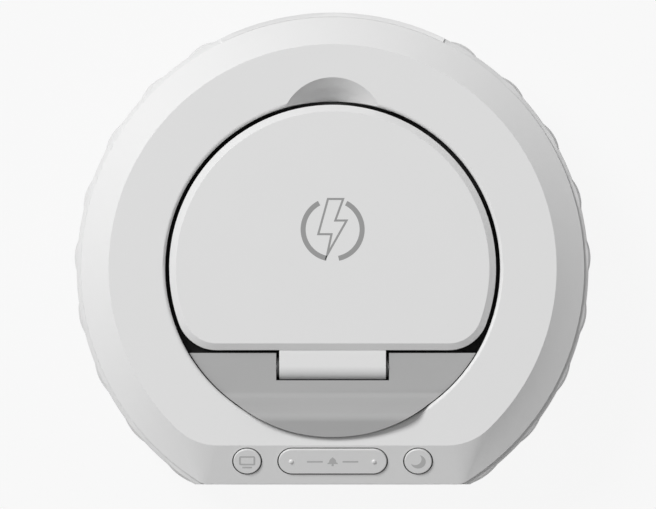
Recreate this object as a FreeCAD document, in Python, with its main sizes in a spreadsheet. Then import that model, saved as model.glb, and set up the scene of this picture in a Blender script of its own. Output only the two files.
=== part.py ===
import FreeCAD, Part
import math
import os
import Sketcher

# A low round bedside clock. The origin is on the axis of the case, at the table.
# +Z is up, the clock display faces -Y, and the flip pad opens towards +Y.

os.makedirs("parts", exist_ok=True)
document = FreeCAD.newDocument("alarm_clock")

# Driving dimensions, in millimetres and degrees
DIMENSIONS = {
    # case
    "face_height": "48.0",
    "face_width": "16.5",
    "face_lead": "2.9",
    "face_corner": "17.5",
    "bevel_depth": "5.9",
    "bevel_width": "8.2",
    "strip_width": "11.2",
    "rim_corner": "4.0",
    "rim_depth": "2.6",
    "shell_wall": "2.0",
    "seat_gap": "0.1",
    # base
    "base_rise": "10.5",
    "foot_inset": "4.7",
    "foot_depth": "5.2",
    "floor_thickness": "2.4",
    "mat_lift": "0.8",
    "mat_thickness": "1.6",
    "mat_inset": "3.8",
    # recess and finger notch
    "recess_radius": "49.0",
    "recess_wall": "2.0",
    "recess_edge": "1.0",
    "tray_thickness": "2.0",
    "tray_gap": "0.15",
    "tray_front_rim": "1.0",
    "cup_seat": "0.4",
    "notch_radius": "15.4",
    "notch_inset": "8.6",
    "notch_shoulder_radius": "12.3",
    "notch_shoulder_depth": "3.5",
    "notch_foot_radius": "8.3",
    "notch_wall": "2.6",
    # flip pad
    "pad_gap": "1.2",
    "pad_reach": "24.0",
    "pad_corner": "11.7",
    "pad_bevel": "1.95",
    "pad_bevel_depth": "1.4",
    "pad_lift": "1.0",
    "pad_wall": "1.6",
    "pad_base": "2.4",
    "pad_base_rim": "1.0",
    # hinge
    "hinge_lead": "4.8",
    "knuckle_radius": "3.7",
    "knuckle_half": "15.6",
    "knuckle_step": "0.1",
    "knuckle_gap": "0.9",
    "knuckle_front_gap": "0.3",
    "knuckle_lift": "1.5",
    "knuckle_bore_gap": "0.12",
    "knuckle_root": "3.6",
    "pin_radius": "1.0",
    "running_gap": "0.03",
    "bush_radius": "2.2",
    "bush_length": "7.0",
    "bush_flange": "0.7",
    "bush_flange_rim": "0.8",
    "lug_width": "5.0",
    "lug_half": "3.2",
    "lug_cover": "0.6",
    # anti-slip ledge
    "ledge_gap": "0.8",
    "ledge_fit": "0.3",
    "ledge_drop": "2.7",
    "ledge_slope": "5.7",
    "crest_inset": "5.9",
    "crest_height": "3.4",
    "lip_height": "1.8",
    "crest_round": "2.5",
    # charging parts
    "coil_gap": "0.8",
    "coil_radius": "22.0",
    "coil_bore": "10.0",
    "coil_thickness": "1.2",
    "ferrite_thickness": "0.8",
    "ferrite_rim": "1.5",
    "coil_wall": "1.6",
    "pad_board_length": "44.0",
    "pad_board_width": "7.0",
    "pad_board_gap": "0.4",
    "pad_board_lift": "1.2",
    "board_thickness": "1.0",
    "pad_screw_inset": "5.2",
    "pad_screw_angle": "39.3",
    "pad_screw_front": "9.0",
    # buttons on the front strip
    "button_lead": "4.4",
    "button_radius": "4.0",
    "button_offset": "25.0",
    "snooze_half": "11.8",
    "button_gap": "0.3",
    "button_rise": "0.7",
    "button_edge": "0.25",
    "button_travel": "0.5",
    "skirt_cut": "0.4",
    "catch_rim": "1.2",
    "catch_half": "2.5",
    "catch_thickness": "0.8",
    "catch_gap": "0.1",
    "stem_radius": "1.6",
    "stem_length": "0.4",
    "switch_gap": "0.05",
    "switch_side": "4.2",
    "switch_height": "1.3",
    "button_board_half": "34.0",
    "button_board_front": "6.0",
    "button_board_back": "2.4",
    "button_board_thickness": "0.8",
    "button_post_radius": "1.4",
    "dimple_radius": "0.75",
    "dimple_rise": "0.45",
    "dimple_offset": "12.1",
    # light band, rear panel and lamps
    "band_step": "1.3",
    "band_tail": "4.0",
    "band_wall": "2.4",
    "band_drop": "0.3",
    "lobe_rise": "0.75",
    "lobe_angle": "6.8",
    "lobe_pitch": "14.05",
    "lobe_count": "9",
    "lobe_first": "-53.3",
    "rear_half_angle": "26.0",
    "lamp_room": "6.0",
    "core_wall": "1.6",
    "core_drop": "3.5",
    "core_front_angle": "42.0",
    "strip_thickness": "0.8",
    "strip_height": "12.0",
    "lamp_side": "3.0",
    "lamp_rise": "1.0",
    "lamp_count": "12",
    # connector bay in the rear panel
    "bay_depth": "4.5",
    "bay_half": "24.0",
    "bay_margin": "3.5",
    "bay_wall": "2.0",
    "key_radius": "2.4",
    "key_pitch": "8.0",
    "key_side": "10.5",
    "key_lift": "5.0",
    "key_rise": "0.8",
    "key_travel": "0.6",
    "key_gap": "0.2",
    "key_catch": "0.8",
    "key_switch_side": "4.0",
    "key_switch_height": "1.8",
    "key_board_gap": "4.1",
    "key_board_half": "12.6",
    "key_board_drop": "1.0",
    "key_post_radius": "1.2",
    "socket_half": "2.9",
    "socket_radius": "1.6",
    "socket_shell": "0.3",
    "socket_drop": "5.5",
    "socket_tongue": "0.7",
    "speaker_side": "12.5",
    "speaker_radius": "10.0",
    "speaker_depth": "4.5",
    "magnet_radius": "6.0",
    "magnet_depth": "5.5",
    "collar_wall": "1.2",
    "collar_depth": "3.0",
    "grille_half": "6.0",
    "grille_radius": "0.7",
    "grille_pitch": "2.8",
    "grille_count": "5",
    # front display
    "panel_fit": "0.2",
    "window_side": "4.3",
    "window_margin": "3.9",
    "window_corner": "2.5",
    "window_flange": "1.8",
    "window_flange_thickness": "1.2",
    "window_inset": "0.2",
    "module_side": "0.6",
    "module_drop": "2.8",
    "module_depth": "4.0",
    "module_board_depth": "1.6",
    "module_board_rim": "1.2",
    "display_drop": "0.4",
    # boards, weight and fasteners inside
    "main_board_side": "23.0",
    "main_board_width": "58.0",
    "main_board_rise": "5.8",
    "main_board_thickness": "1.6",
    "board_post_inset": "4.0",
    "board_post_radius": "2.5",
    "board_screw_radius": "1.1",
    "chip_side": "12.0",
    "chip_height": "1.5",
    "chip_offset": "22.0",
    "holder_radius": "12.0",
    "holder_height": "3.6",
    "cell_radius": "10.0",
    "cell_thickness": "3.2",
    "holder_inset": "22.0",
    "ballast_gap": "3.0",
    "ballast_thickness": "2.0",
    "post_gap": "0.15",
    "post_angle": "36.85",
    "post_radius": "4.0",
    "post_bore": "3.0",
    "post_top": "25.0",
    "post_seat": "3.0",
    "boss_radius": "3.4",
    "case_screw_radius": "1.5",
    "case_screw_length": "12.0",
    "case_screw_head": "2.7",
    "case_screw_head_height": "2.0",
    "tray_screw_angle": "19.3",
    "tray_boss_gap": "0.45",
    "tray_boss_radius": "3.0",
    "small_screw_radius": "0.9",
    "small_screw_length": "5.0",
    "small_screw_head": "1.7",
    "small_screw_head_height": "0.9",
    "screw_gap": "0.05",
}

sheet = document.addObject("Spreadsheet::Sheet", "sizes")
for row, (alias, size) in enumerate(DIMENSIONS.items(), start=1):
    sheet.set(f"A{row}", alias)
    sheet.set(f"B{row}", size)
    sheet.setAlias(f"B{row}", alias)
document.recompute()

# Levels, places and sizes that follow from the driving dimensions, as expressions
FACE = "sizes.face_height"
RIM_TOP = "(sizes.face_height - sizes.bevel_depth)"
RIM_FOOT = f"({RIM_TOP} - sizes.rim_depth)"
CEILING = f"({FACE} - sizes.shell_wall)"
HOUSING_FOOT = "sizes.mat_lift"
FLOOR = "(sizes.mat_lift + sizes.floor_thickness)"
CHEEK = f"({HOUSING_FOOT} + sizes.foot_depth)"
MIDDLE = f"((sizes.base_rise + {RIM_FOOT}) / 2)"

RECESS_OUTER = "(sizes.recess_radius + sizes.recess_wall)"
FACE_RADIUS = "(sizes.recess_radius + sizes.face_width)"
FACE_REACH = "(sizes.recess_radius + sizes.face_lead)"
RIM_RADIUS = f"({FACE_RADIUS} + sizes.bevel_width)"
RIM_REACH = f"({FACE_REACH} + sizes.strip_width)"
BAND_RADIUS = f"({RIM_RADIUS} + sizes.band_step)"
BAND_INNER = f"({BAND_RADIUS} - sizes.band_wall)"
BAND_TOP = f"({RIM_TOP} - sizes.band_drop)"
LIP_RADIUS = f"({RIM_RADIUS} + sizes.seat_gap)"
CORE_RADIUS = f"({BAND_INNER} - sizes.lamp_room)"
CORE_INNER = f"({CORE_RADIUS} - sizes.core_wall)"
CORE_TOP = f"({RIM_FOOT} - sizes.core_drop)"
POST_RING = f"({CORE_INNER} - sizes.post_radius - sizes.post_gap)"
POST_SIDE = f"({POST_RING} * cos(sizes.post_angle * 1deg))"
POST_REACH = f"({POST_RING} * sin(sizes.post_angle * 1deg))"
SCREW_SEAT = "(sizes.post_top - sizes.post_seat)"

PAD_RADIUS = "(sizes.recess_radius - sizes.pad_gap)"
PAD_BEVEL_FOOT = f"({FACE} - sizes.pad_bevel_depth)"
KNUCKLE_TOP = f"({PAD_BEVEL_FOOT} - sizes.knuckle_step)"
HINGE_HEIGHT = f"({KNUCKLE_TOP} - sizes.knuckle_radius)"
HINGE_REACH = "(sizes.pad_reach + sizes.hinge_lead)"
TRAY_TOP = f"({HINGE_HEIGHT} - sizes.knuckle_radius - sizes.knuckle_lift)"
TRAY_FOOT = f"({TRAY_TOP} - sizes.tray_thickness)"
TRAY_RADIUS = f"({POST_RING} - sizes.boss_radius - sizes.tray_gap)"
TRAY_FRONT = f"({RECESS_OUTER} + sizes.tray_front_rim)"
CUP_TOP = f"({CEILING} + sizes.cup_seat)"
TRAY_SCREW_RING = f"({RECESS_OUTER} + sizes.seat_gap + sizes.tray_boss_radius + sizes.tray_boss_gap)"
TRAY_SCREW_SIDE = f"({TRAY_SCREW_RING} * cos(sizes.tray_screw_angle * 1deg))"
TRAY_SCREW_REACH = f"({TRAY_SCREW_RING} * sin(sizes.tray_screw_angle * 1deg))"
NOTCH_REACH = "(sizes.recess_radius - sizes.notch_inset)"

PAD_FOOT = f"({TRAY_TOP} + sizes.pad_lift)"
PAD_FLOOR = f"({PAD_FOOT} + sizes.pad_base - sizes.pad_base_rim)"
PAD_SPLIT = f"({PAD_FOOT} + sizes.pad_base)"
PAD_CEILING = f"({FACE} - sizes.pad_wall)"
PAD_SCREW_SIDE = f"(({PAD_RADIUS} - sizes.pad_screw_inset) * cos(sizes.pad_screw_angle * 1deg))"
PAD_SCREW_BACK = f"(({PAD_RADIUS} - sizes.pad_screw_inset) * sin(sizes.pad_screw_angle * 1deg))"
PAD_BOARD_START = "(sizes.pad_reach - sizes.knuckle_root - sizes.pad_board_gap)"
PAD_BOARD_REACH = f"({PAD_BOARD_START} - sizes.pad_board_width / 2)"
COIL_REACH = (f"(sizes.coil_radius + sizes.ferrite_rim + sizes.coil_gap"
              f" + sizes.pad_board_width - {PAD_BOARD_START})")
LUG_INNER = "(sizes.knuckle_half + sizes.knuckle_gap)"
LUG_OUTER = f"({LUG_INNER} + sizes.lug_width)"
LUG_TOP = f"({HINGE_HEIGHT} + sizes.pin_radius + sizes.lug_cover)"
LEDGE_START = "(sizes.pad_reach + sizes.ledge_gap)"
LEDGE_RADIUS = "(sizes.recess_radius - sizes.ledge_fit)"
CREST = f"({FACE} + sizes.crest_height)"
CREST_REACH = "(sizes.recess_radius - sizes.crest_inset)"
LEDGE_FOOT_REACH = f"({CREST_REACH} - sizes.ledge_slope)"

BUTTON_REACH = f"({FACE_REACH} + sizes.button_lead)"
STRIP_SLOPE = "atan(sizes.bevel_depth / sizes.strip_width)"
STRIP_HEIGHT = f"({FACE} - sizes.button_lead * tan({STRIP_SLOPE}))"
STRIP_WALL = f"(sizes.shell_wall * (cos({STRIP_SLOPE}) + sin({STRIP_SLOPE})))"
CATCH_TOP = f"({STRIP_WALL} + sizes.catch_gap)"
STEM_FOOT = f"({CATCH_TOP} + sizes.catch_thickness + sizes.stem_length)"
SWITCH_TOP = f"({STEM_FOOT} + sizes.button_travel + sizes.switch_gap)"
BUTTON_BOARD_TOP = f"({SWITCH_TOP} + sizes.switch_height)"

DISPLAY_HEIGHT = f"({MIDDLE} - sizes.display_drop)"
BAY_FACE = f"({BAND_RADIUS} - sizes.bay_depth)"
BAY_BACK = f"({BAY_FACE} - sizes.bay_wall)"
BAY_HEIGHT = f"({RIM_FOOT} - sizes.base_rise - 2 * sizes.bay_margin)"
BAY_LOW = f"({DISPLAY_HEIGHT} - {BAY_HEIGHT} / 2)"
BAY_HIGH = f"({DISPLAY_HEIGHT} + {BAY_HEIGHT} / 2)"
KEY_HEIGHT = f"({DISPLAY_HEIGHT} + sizes.key_lift)"
SOCKET_HEIGHT = f"({DISPLAY_HEIGHT} - sizes.socket_drop)"
KEY_BOARD_FACE = f"({BAY_BACK} - sizes.key_board_gap)"
KEY_BOARD_HEIGHT = f"({BAY_HEIGHT} - sizes.key_board_drop)"
PANEL_BACK = f"({RIM_REACH} - sizes.band_wall)"
PANEL_FIT = f"({BAND_INNER} - sizes.panel_fit)"
PANEL_HALF = f"sqrt({PANEL_FIT}^2 - {RIM_REACH}^2)"
WINDOW_HALF = f"({PANEL_HALF} - sizes.window_side)"
WINDOW_HEIGHT = f"({RIM_FOOT} - sizes.base_rise - 2 * sizes.window_margin)"
MODULE_HALF = f"({WINDOW_HALF} - sizes.module_side)"
MODULE_HEIGHT = f"({WINDOW_HEIGHT} - sizes.module_drop)"
MODULE_FACE = f"({PANEL_BACK} - sizes.window_flange_thickness)"
MODULE_BACK = f"({MODULE_FACE} - sizes.module_depth)"
MAIN_BOARD_FOOT = f"({FLOOR} + sizes.main_board_rise)"
MAIN_BOARD_TOP = f"({MAIN_BOARD_FOOT} + sizes.main_board_thickness)"
MAIN_BOARD_HALF = f"({CORE_INNER} - sizes.main_board_side)"
BOARD_POST_SIDE = f"({MAIN_BOARD_HALF} - sizes.board_post_inset)"
HOLDER_SIDE = f"({MAIN_BOARD_HALF} - sizes.holder_inset)"
BOARD_POST_REACH = "(sizes.main_board_width / 2 - sizes.board_post_inset)"
BALLAST_RADIUS = (f"(sqrt({BOARD_POST_SIDE}^2 + {BOARD_POST_REACH}^2)"
                  f" - sizes.board_post_radius - sizes.ballast_gap)")

# The way that each origin plane's own normal points along its axis
NORMAL_SIGN = {"XY_Plane": 1, "XZ_Plane": -1, "YZ_Plane": 1}
LEFT_AND_RIGHT = (-1, 1)
FRONT_AND_BACK = (-1, 1)

finished = {}


def number(expression):
    """The value of an expression over the sheet's cells."""
    value = sheet.evalExpression(str(expression))
    return float(getattr(value, "Value", value))


def vector(x, y):
    return FreeCAD.Vector(x, y, 0)


def scaled(factor, expression):
    return f"({factor} * ({expression}))"


def finish(node, label):
    """Give an object the name of its sub-part."""
    node.Label = label
    finished[label] = node
    return node


def new_body(label):
    return finish(document.addObject("PartDesign::Body", label), label)


def add_sketch(body, plane, level, turn=None):
    """A sketch on an origin plane of its own body, moved along the plane's normal."""
    sketch = body.newObject("Sketcher::SketchObject", "outline")
    origin_plane = next(item for item in body.Origin.OriginFeatures if item.Role == plane)
    sketch.AttachmentSupport = [(origin_plane, "")]
    sketch.MapMode = "FlatFace"
    if turn is not None:
        turned = FreeCAD.Rotation(FreeCAD.Vector(0, 0, 1), 1)
        sketch.AttachmentOffset = FreeCAD.Placement(FreeCAD.Vector(), turned)
        sketch.setExpression("AttachmentOffset.Rotation.Angle", turn)
    sketch.setExpression("AttachmentOffset.Base.z", scaled(NORMAL_SIGN[plane], level))
    return sketch


def bind(sketch, kind, *references, to):
    """Add a dimension to a sketch and tie it to an expression."""
    index = sketch.addConstraint(Sketcher.Constraint(kind, *references, number(to)))
    sketch.setExpression(f"Constraints[{index}]", to)


def place_point(sketch, element, end, x, y):
    bind(sketch, "DistanceX", -1, 1, element, end, to=x)
    bind(sketch, "DistanceY", -1, 1, element, end, to=y)


# Outlines. Each returns a function that draws it on a sketch.

def circle(radius, x="0", y="0"):
    def draw(sketch):
        centre = vector(number(x), number(y))
        ring = sketch.addGeometry(Part.Circle(centre, FreeCAD.Vector(0, 0, 1), number(radius)))
        bind(sketch, "Radius", ring, to=radius)
        place_point(sketch, ring, 3, x, y)
    return draw


def polygon(*corners):
    def draw(sketch):
        points = [vector(number(x), number(y)) for x, y in corners]
        following = points[1:] + points[:1]
        lines = [sketch.addGeometry(Part.LineSegment(*ends)) for ends in zip(points, following)]
        for line, successor in zip(lines, lines[1:] + lines[:1]):
            sketch.addConstraint(Sketcher.Constraint("Coincident", line, 2, successor, 1))
        for line, (x, y) in zip(lines, corners):
            place_point(sketch, line, 1, x, y)
    return draw


def rectangle(left, right, low, high):
    return polygon((left, low), (right, low), (right, high), (left, high))


def centred_rectangle(half_x, low, high):
    return rectangle(scaled(-1, half_x), half_x, low, high)


def pill(half, radius, x="0", y="0"):
    """Two half circles, their centres a given distance either side of the middle, joined by lines."""
    def draw(sketch):
        ends = []
        for side, start in zip((1, -1), (-math.pi / 2, math.pi / 2)):
            centre = vector(number(x) + side * number(half), number(y))
            round_end = Part.Circle(centre, FreeCAD.Vector(0, 0, 1), number(radius))
            ends.append(sketch.addGeometry(Part.ArcOfCircle(round_end, start, start + math.pi)))
        for arc, following in zip(ends, ends[::-1]):
            line = sketch.addGeometry(Part.LineSegment(
                sketch.getPoint(arc, 2), sketch.getPoint(following, 1)))
            sketch.addConstraint(Sketcher.Constraint("Tangent", arc, 2, line, 1))
            sketch.addConstraint(Sketcher.Constraint("Tangent", line, 2, following, 1))
        bind(sketch, "Radius", ends[0], to=radius)
        for arc, side in zip(ends, (1, -1)):
            place_point(sketch, arc, 3, f"({x} + {side} * {half})", y)
    return draw


def flat_fronted_disc(radius, reach, corner):
    """A disc cut by a straight front edge, with round corners where the two meet."""
    def draw(sketch):
        disc, front, turn = number(radius), number(reach), number(corner)
        corner_y = turn - front
        corner_x = math.sqrt((disc - turn) ** 2 - corner_y ** 2)
        lean = math.atan2(corner_y, corner_x)
        axis = FreeCAD.Vector(0, 0, 1)
        rim = sketch.addGeometry(Part.ArcOfCircle(
            Part.Circle(vector(0, 0), axis, disc), lean, math.pi - lean))
        left = sketch.addGeometry(Part.ArcOfCircle(
            Part.Circle(vector(-corner_x, corner_y), axis, turn), math.pi - lean, 1.5 * math.pi))
        front_edge = sketch.addGeometry(Part.LineSegment(
            vector(-corner_x, -front), vector(corner_x, -front)))
        right = sketch.addGeometry(Part.ArcOfCircle(
            Part.Circle(vector(corner_x, corner_y), axis, turn), -math.pi / 2, lean))
        loop = (rim, left, front_edge, right)
        for element, following in zip(loop, loop[1:] + loop[:1]):
            sketch.addConstraint(Sketcher.Constraint("Tangent", element, 2, following, 1))
        sketch.addConstraint(Sketcher.Constraint("Coincident", rim, 3, -1, 1))
        sketch.addConstraint(Sketcher.Constraint("Horizontal", front_edge))
        bind(sketch, "Radius", rim, to=radius)
        bind(sketch, "Radius", left, to=corner)
        bind(sketch, "Radius", right, to=corner)
        bind(sketch, "DistanceY", -1, 1, front_edge, 1, to=scaled(-1, reach))
    return draw


def disc_segment(radius, reach, side):
    """The part of a disc beyond a straight line, at the back (side 1) or the front (side -1)."""
    def draw(sketch):
        lean = math.asin(number(reach) / number(radius))
        start, end = (lean, math.pi - lean) if side > 0 else (math.pi + lean, 2 * math.pi - lean)
        round_edge = Part.Circle(vector(0, 0), FreeCAD.Vector(0, 0, 1), number(radius))
        arc = sketch.addGeometry(Part.ArcOfCircle(round_edge, start, end))
        line = sketch.addGeometry(Part.LineSegment(sketch.getPoint(arc, 2), sketch.getPoint(arc, 1)))
        sketch.addConstraint(Sketcher.Constraint("Coincident", arc, 2, line, 1))
        sketch.addConstraint(Sketcher.Constraint("Coincident", line, 2, arc, 1))
        sketch.addConstraint(Sketcher.Constraint("Coincident", arc, 3, -1, 1))
        sketch.addConstraint(Sketcher.Constraint("Horizontal", line))
        bind(sketch, "Radius", arc, to=radius)
        bind(sketch, "DistanceY", -1, 1, line, 1, to=scaled(side, reach))
    return draw


def ring_sector(inner, outer, start, end):
    """A stretch of a ring about the origin, from one angle to another."""
    def draw(sketch):
        first, last = math.radians(number(start)), math.radians(number(end))
        arcs = []
        for radius in (inner, outer):
            round_edge = Part.Circle(vector(0, 0), FreeCAD.Vector(0, 0, 1), number(radius))
            arc = sketch.addGeometry(Part.ArcOfCircle(round_edge, first, last))
            sketch.addConstraint(Sketcher.Constraint("Coincident", arc, 3, -1, 1))
            bind(sketch, "Radius", arc, to=radius)
            arcs.append(arc)
        for end_point, angle in ((1, start), (2, end)):
            line = sketch.addGeometry(Part.LineSegment(
                sketch.getPoint(arcs[0], end_point), sketch.getPoint(arcs[1], end_point)))
            sketch.addConstraint(Sketcher.Constraint("Coincident", line, 1, arcs[0], end_point))
            sketch.addConstraint(Sketcher.Constraint("Coincident", line, 2, arcs[1], end_point))
            sketch.addConstraint(Sketcher.Constraint("PointOnObject", -1, 1, line))
            lean = sketch.addConstraint(Sketcher.Constraint("Angle", line, math.radians(number(angle))))
            sketch.setExpression(f"Constraints[{lean}]", f"({angle}) * 1deg")
    return draw


def lobe(radius, rise, angle):
    """A low round swelling on a circle, centred on the X axis and closed by its chord."""
    def draw(sketch):
        half = f"({angle} / 2 * 1deg)"
        foot_x = f"({radius} * cos({half}))"
        foot_y = f"({radius} * sin({half}))"
        peak = f"({radius} + {rise})"
        low = vector(number(foot_x), -number(foot_y))
        high = vector(number(foot_x), number(foot_y))
        arc = sketch.addGeometry(Part.Arc(low, vector(number(peak), 0), high))
        chord = sketch.addGeometry(Part.LineSegment(high, low))
        sketch.addConstraint(Sketcher.Constraint("Coincident", arc, 2, chord, 1))
        sketch.addConstraint(Sketcher.Constraint("Coincident", chord, 2, arc, 1))
        place_point(sketch, arc, 2, foot_x, foot_y)
        place_point(sketch, arc, 1, foot_x, scaled(-1, foot_y))
        bind(sketch, "Radius", arc, to=f"((({peak} - {foot_x})^2 + {foot_y}^2) / (2 * ({peak} - {foot_x})))")
    return draw


# Features. A solid or a cut runs between two levels along its plane's axis.

def solid(body, outlines, low, high, plane="XY_Plane", turn=None):
    sketch = add_sketch(body, plane, low if NORMAL_SIGN[plane] > 0 else high, turn)
    for outline in outlines:
        outline(sketch)
    feature = body.newObject("PartDesign::Pad", "solid")
    feature.Profile = sketch
    feature.setExpression("Length", f"({high}) - ({low})")
    document.recompute()
    return feature


def cut(body, outlines, low, high, plane="XY_Plane", turn=None, tilt=None):
    """Cut a prism out of a body, and stop if nothing was cut."""
    before = body.Shape.Volume
    sketch = add_sketch(body, plane, high if NORMAL_SIGN[plane] > 0 else low, turn)
    if tilt is not None:
        tilt(sketch)
    for outline in outlines:
        outline(sketch)
    feature = body.newObject("PartDesign::Pocket", "cut")
    feature.Profile = sketch
    feature.setExpression("Length", f"({high}) - ({low})")
    document.recompute()
    if not body.Shape.Volume < before:
        raise ValueError(f"a cut in {body.Label} removes nothing")
    return feature


def loft(body, kind, *sections):
    """Join outlines at rising levels with straight-sided walls."""
    sketches = []
    for level, outline in sections:
        sketch = add_sketch(body, "XY_Plane", level)
        outline(sketch)
        sketches.append(sketch)
    feature = body.newObject(f"PartDesign::{kind}Loft", "taper")
    feature.Profile = sketches[0]
    feature.Sections = sketches[1:]
    feature.Ruled = True
    document.recompute()
    return feature


def repeat_round(body, feature, count, angle):
    """Copies of a feature, spread over an angle about the vertical axis."""
    pattern = body.newObject("PartDesign::PolarPattern", "copies")
    pattern.Originals = [feature]
    vertical = next(item for item in body.Origin.OriginFeatures if item.Role == "Z_Axis")
    pattern.Axis = (vertical, [""])
    pattern.setExpression("Angle", angle)
    pattern.setExpression("Occurrences", count)
    body.Tip = pattern
    document.recompute()
    return pattern


def round_edges(body, radius, choose):
    """Fillet the edges of a body's shape that a test picks."""
    base = body.Tip
    names = [f"Edge{i}" for i, edge in enumerate(base.Shape.Edges, start=1) if choose(edge)]
    feature = body.newObject("PartDesign::Fillet", "rounding")
    feature.Base = (base, names)
    feature.setExpression("Radius", radius)
    document.recompute()
    return feature


def at_height(level):
    """A test for edges that lie wholly at one height."""
    def choose(edge):
        box = edge.BoundBox
        return abs(box.ZMin - number(level)) < 1e-4 and abs(box.ZMax - number(level)) < 1e-4
    return choose


def with_radius(radius, level):
    """A test for round edges of one radius at one height."""
    def choose(edge):
        return (at_height(level)(edge) and hasattr(edge.Curve, "Radius")
                and abs(edge.Curve.Radius - number(radius)) < 1e-4)
    return choose


def mirrored(source, label):
    """The same piece on the other side of the clock."""
    copy = document.addObject("Part::Mirroring", label)
    copy.Source = source
    copy.Normal = FreeCAD.Vector(1, 0, 0)
    return finish(copy, label)


def four_corners(radius, side, reach):
    return [circle(radius, scaled(x, side), scaled(y, reach))
            for x in LEFT_AND_RIGHT for y in FRONT_AND_BACK]


def on_strip(target, path, x="0", lead="0"):
    """Tie a placement to the sloping strip: its z axis is the strip's normal."""
    setattr(target, path, FreeCAD.Placement(
        FreeCAD.Vector(), FreeCAD.Rotation(FreeCAD.Vector(1, 0, 0), 1)))
    target.setExpression(f"{path}.Rotation.Angle", STRIP_SLOPE)
    target.setExpression(f"{path}.Base.x", x)
    target.setExpression(f"{path}.Base.y", f"-{BUTTON_REACH} - sin({STRIP_SLOPE}) * ({lead})")
    target.setExpression(f"{path}.Base.z", f"{STRIP_HEIGHT} + cos({STRIP_SLOPE}) * ({lead})")


def rim_outline(inset="0"):
    return flat_fronted_disc(f"({RIM_RADIUS} - {inset})", f"({RIM_REACH} - {inset})",
                             "sizes.rim_corner")


def inner_rim_outline():
    return flat_fronted_disc(f"({RIM_RADIUS} - sizes.shell_wall)",
                             f"({RIM_REACH} - sizes.shell_wall)",
                             "(sizes.rim_corner - sizes.shell_wall)")


def face_outline(inset="0"):
    return flat_fronted_disc(f"({FACE_RADIUS} - {inset})", f"({FACE_REACH} - {inset})",
                             f"(sizes.face_corner - {inset})")


def pad_outline(inset="0"):
    return flat_fronted_disc(f"({PAD_RADIUS} - {inset})", f"(sizes.pad_reach - {inset})",
                             f"(sizes.pad_corner - {inset})")


# Case

def make_top_shell():
    body = new_body("top_shell")
    solid(body, [rim_outline()], RIM_FOOT, RIM_TOP)
    loft(body, "Additive", (RIM_TOP, rim_outline()), (FACE, face_outline()))
    inner_rim = f"({RIM_TOP} - sizes.shell_wall)"
    cut(body, [inner_rim_outline()], RIM_FOOT, inner_rim)
    loft(body, "Subtractive", (inner_rim, inner_rim_outline()),
         (CEILING, face_outline("sizes.shell_wall")))
    solid(body, four_corners("sizes.boss_radius", POST_SIDE, POST_REACH),
          "sizes.post_top", CEILING)
    solid(body, four_corners("sizes.tray_boss_radius", TRAY_SCREW_SIDE, TRAY_SCREW_REACH),
          TRAY_TOP, CEILING)
    cut(body, [circle(f"({RECESS_OUTER} + sizes.seat_gap)")], RIM_FOOT, CUP_TOP)
    solid(body, [circle("(sizes.notch_radius + sizes.notch_wall)", "0", NOTCH_REACH)],
          TRAY_TOP, CUP_TOP)
    cut(body, [circle("sizes.recess_radius")], TRAY_TOP, FACE)
    round_edges(body, "sizes.recess_edge", with_radius("sizes.recess_radius", FACE))
    cut(body, four_corners("(sizes.case_screw_radius + sizes.screw_gap)", POST_SIDE,
                           POST_REACH),
        "sizes.post_top", f"({SCREW_SEAT} + sizes.case_screw_length + sizes.screw_gap)")
    cut(body, four_corners("(sizes.small_screw_radius + sizes.screw_gap)", TRAY_SCREW_SIDE,
                           TRAY_SCREW_REACH),
        TRAY_TOP, f"({TRAY_FOOT} + sizes.small_screw_length + sizes.screw_gap)")
    shoulder = f"({FACE} - sizes.notch_shoulder_depth)"
    loft(body, "Subtractive", (shoulder, circle("sizes.notch_shoulder_radius", "0", NOTCH_REACH)),
         (FACE, circle("sizes.notch_radius", "0", NOTCH_REACH)))
    loft(body, "Subtractive", (TRAY_TOP, circle("sizes.notch_foot_radius", "0", NOTCH_REACH)),
         (shoulder, circle("sizes.notch_shoulder_radius", "0", NOTCH_REACH)))
    holes = [pill("sizes.snooze_half", "(sizes.button_radius + sizes.button_gap)")]
    holes += [circle("(sizes.button_radius + sizes.button_gap)", scaled(side, "sizes.button_offset"))
              for side in LEFT_AND_RIGHT]
    cut(body, holes, "0", f"({STRIP_WALL} + sizes.button_rise + sizes.skirt_cut)",
        tilt=lambda sketch: on_strip(sketch, "AttachmentOffset", lead="sizes.button_rise"))
    add_button_posts(body)


def add_button_posts(body):
    """Two posts under the strip, which carry the button board."""
    sketch = add_sketch(body, "XY_Plane", "0")
    on_strip(sketch, "AttachmentOffset", lead=scaled(-1, BUTTON_BOARD_TOP))
    for side in LEFT_AND_RIGHT:
        circle("sizes.button_post_radius",
               scaled(side, "(sizes.button_board_half - sizes.button_post_radius - sizes.seat_gap)"),
               scaled(-1, "sizes.button_post_radius"))(sketch)
    feature = body.newObject("PartDesign::Pad", "posts")
    feature.Profile = sketch
    feature.setExpression("Length", f"{BUTTON_BOARD_TOP} - {STRIP_WALL} / 2")
    document.recompute()


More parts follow.
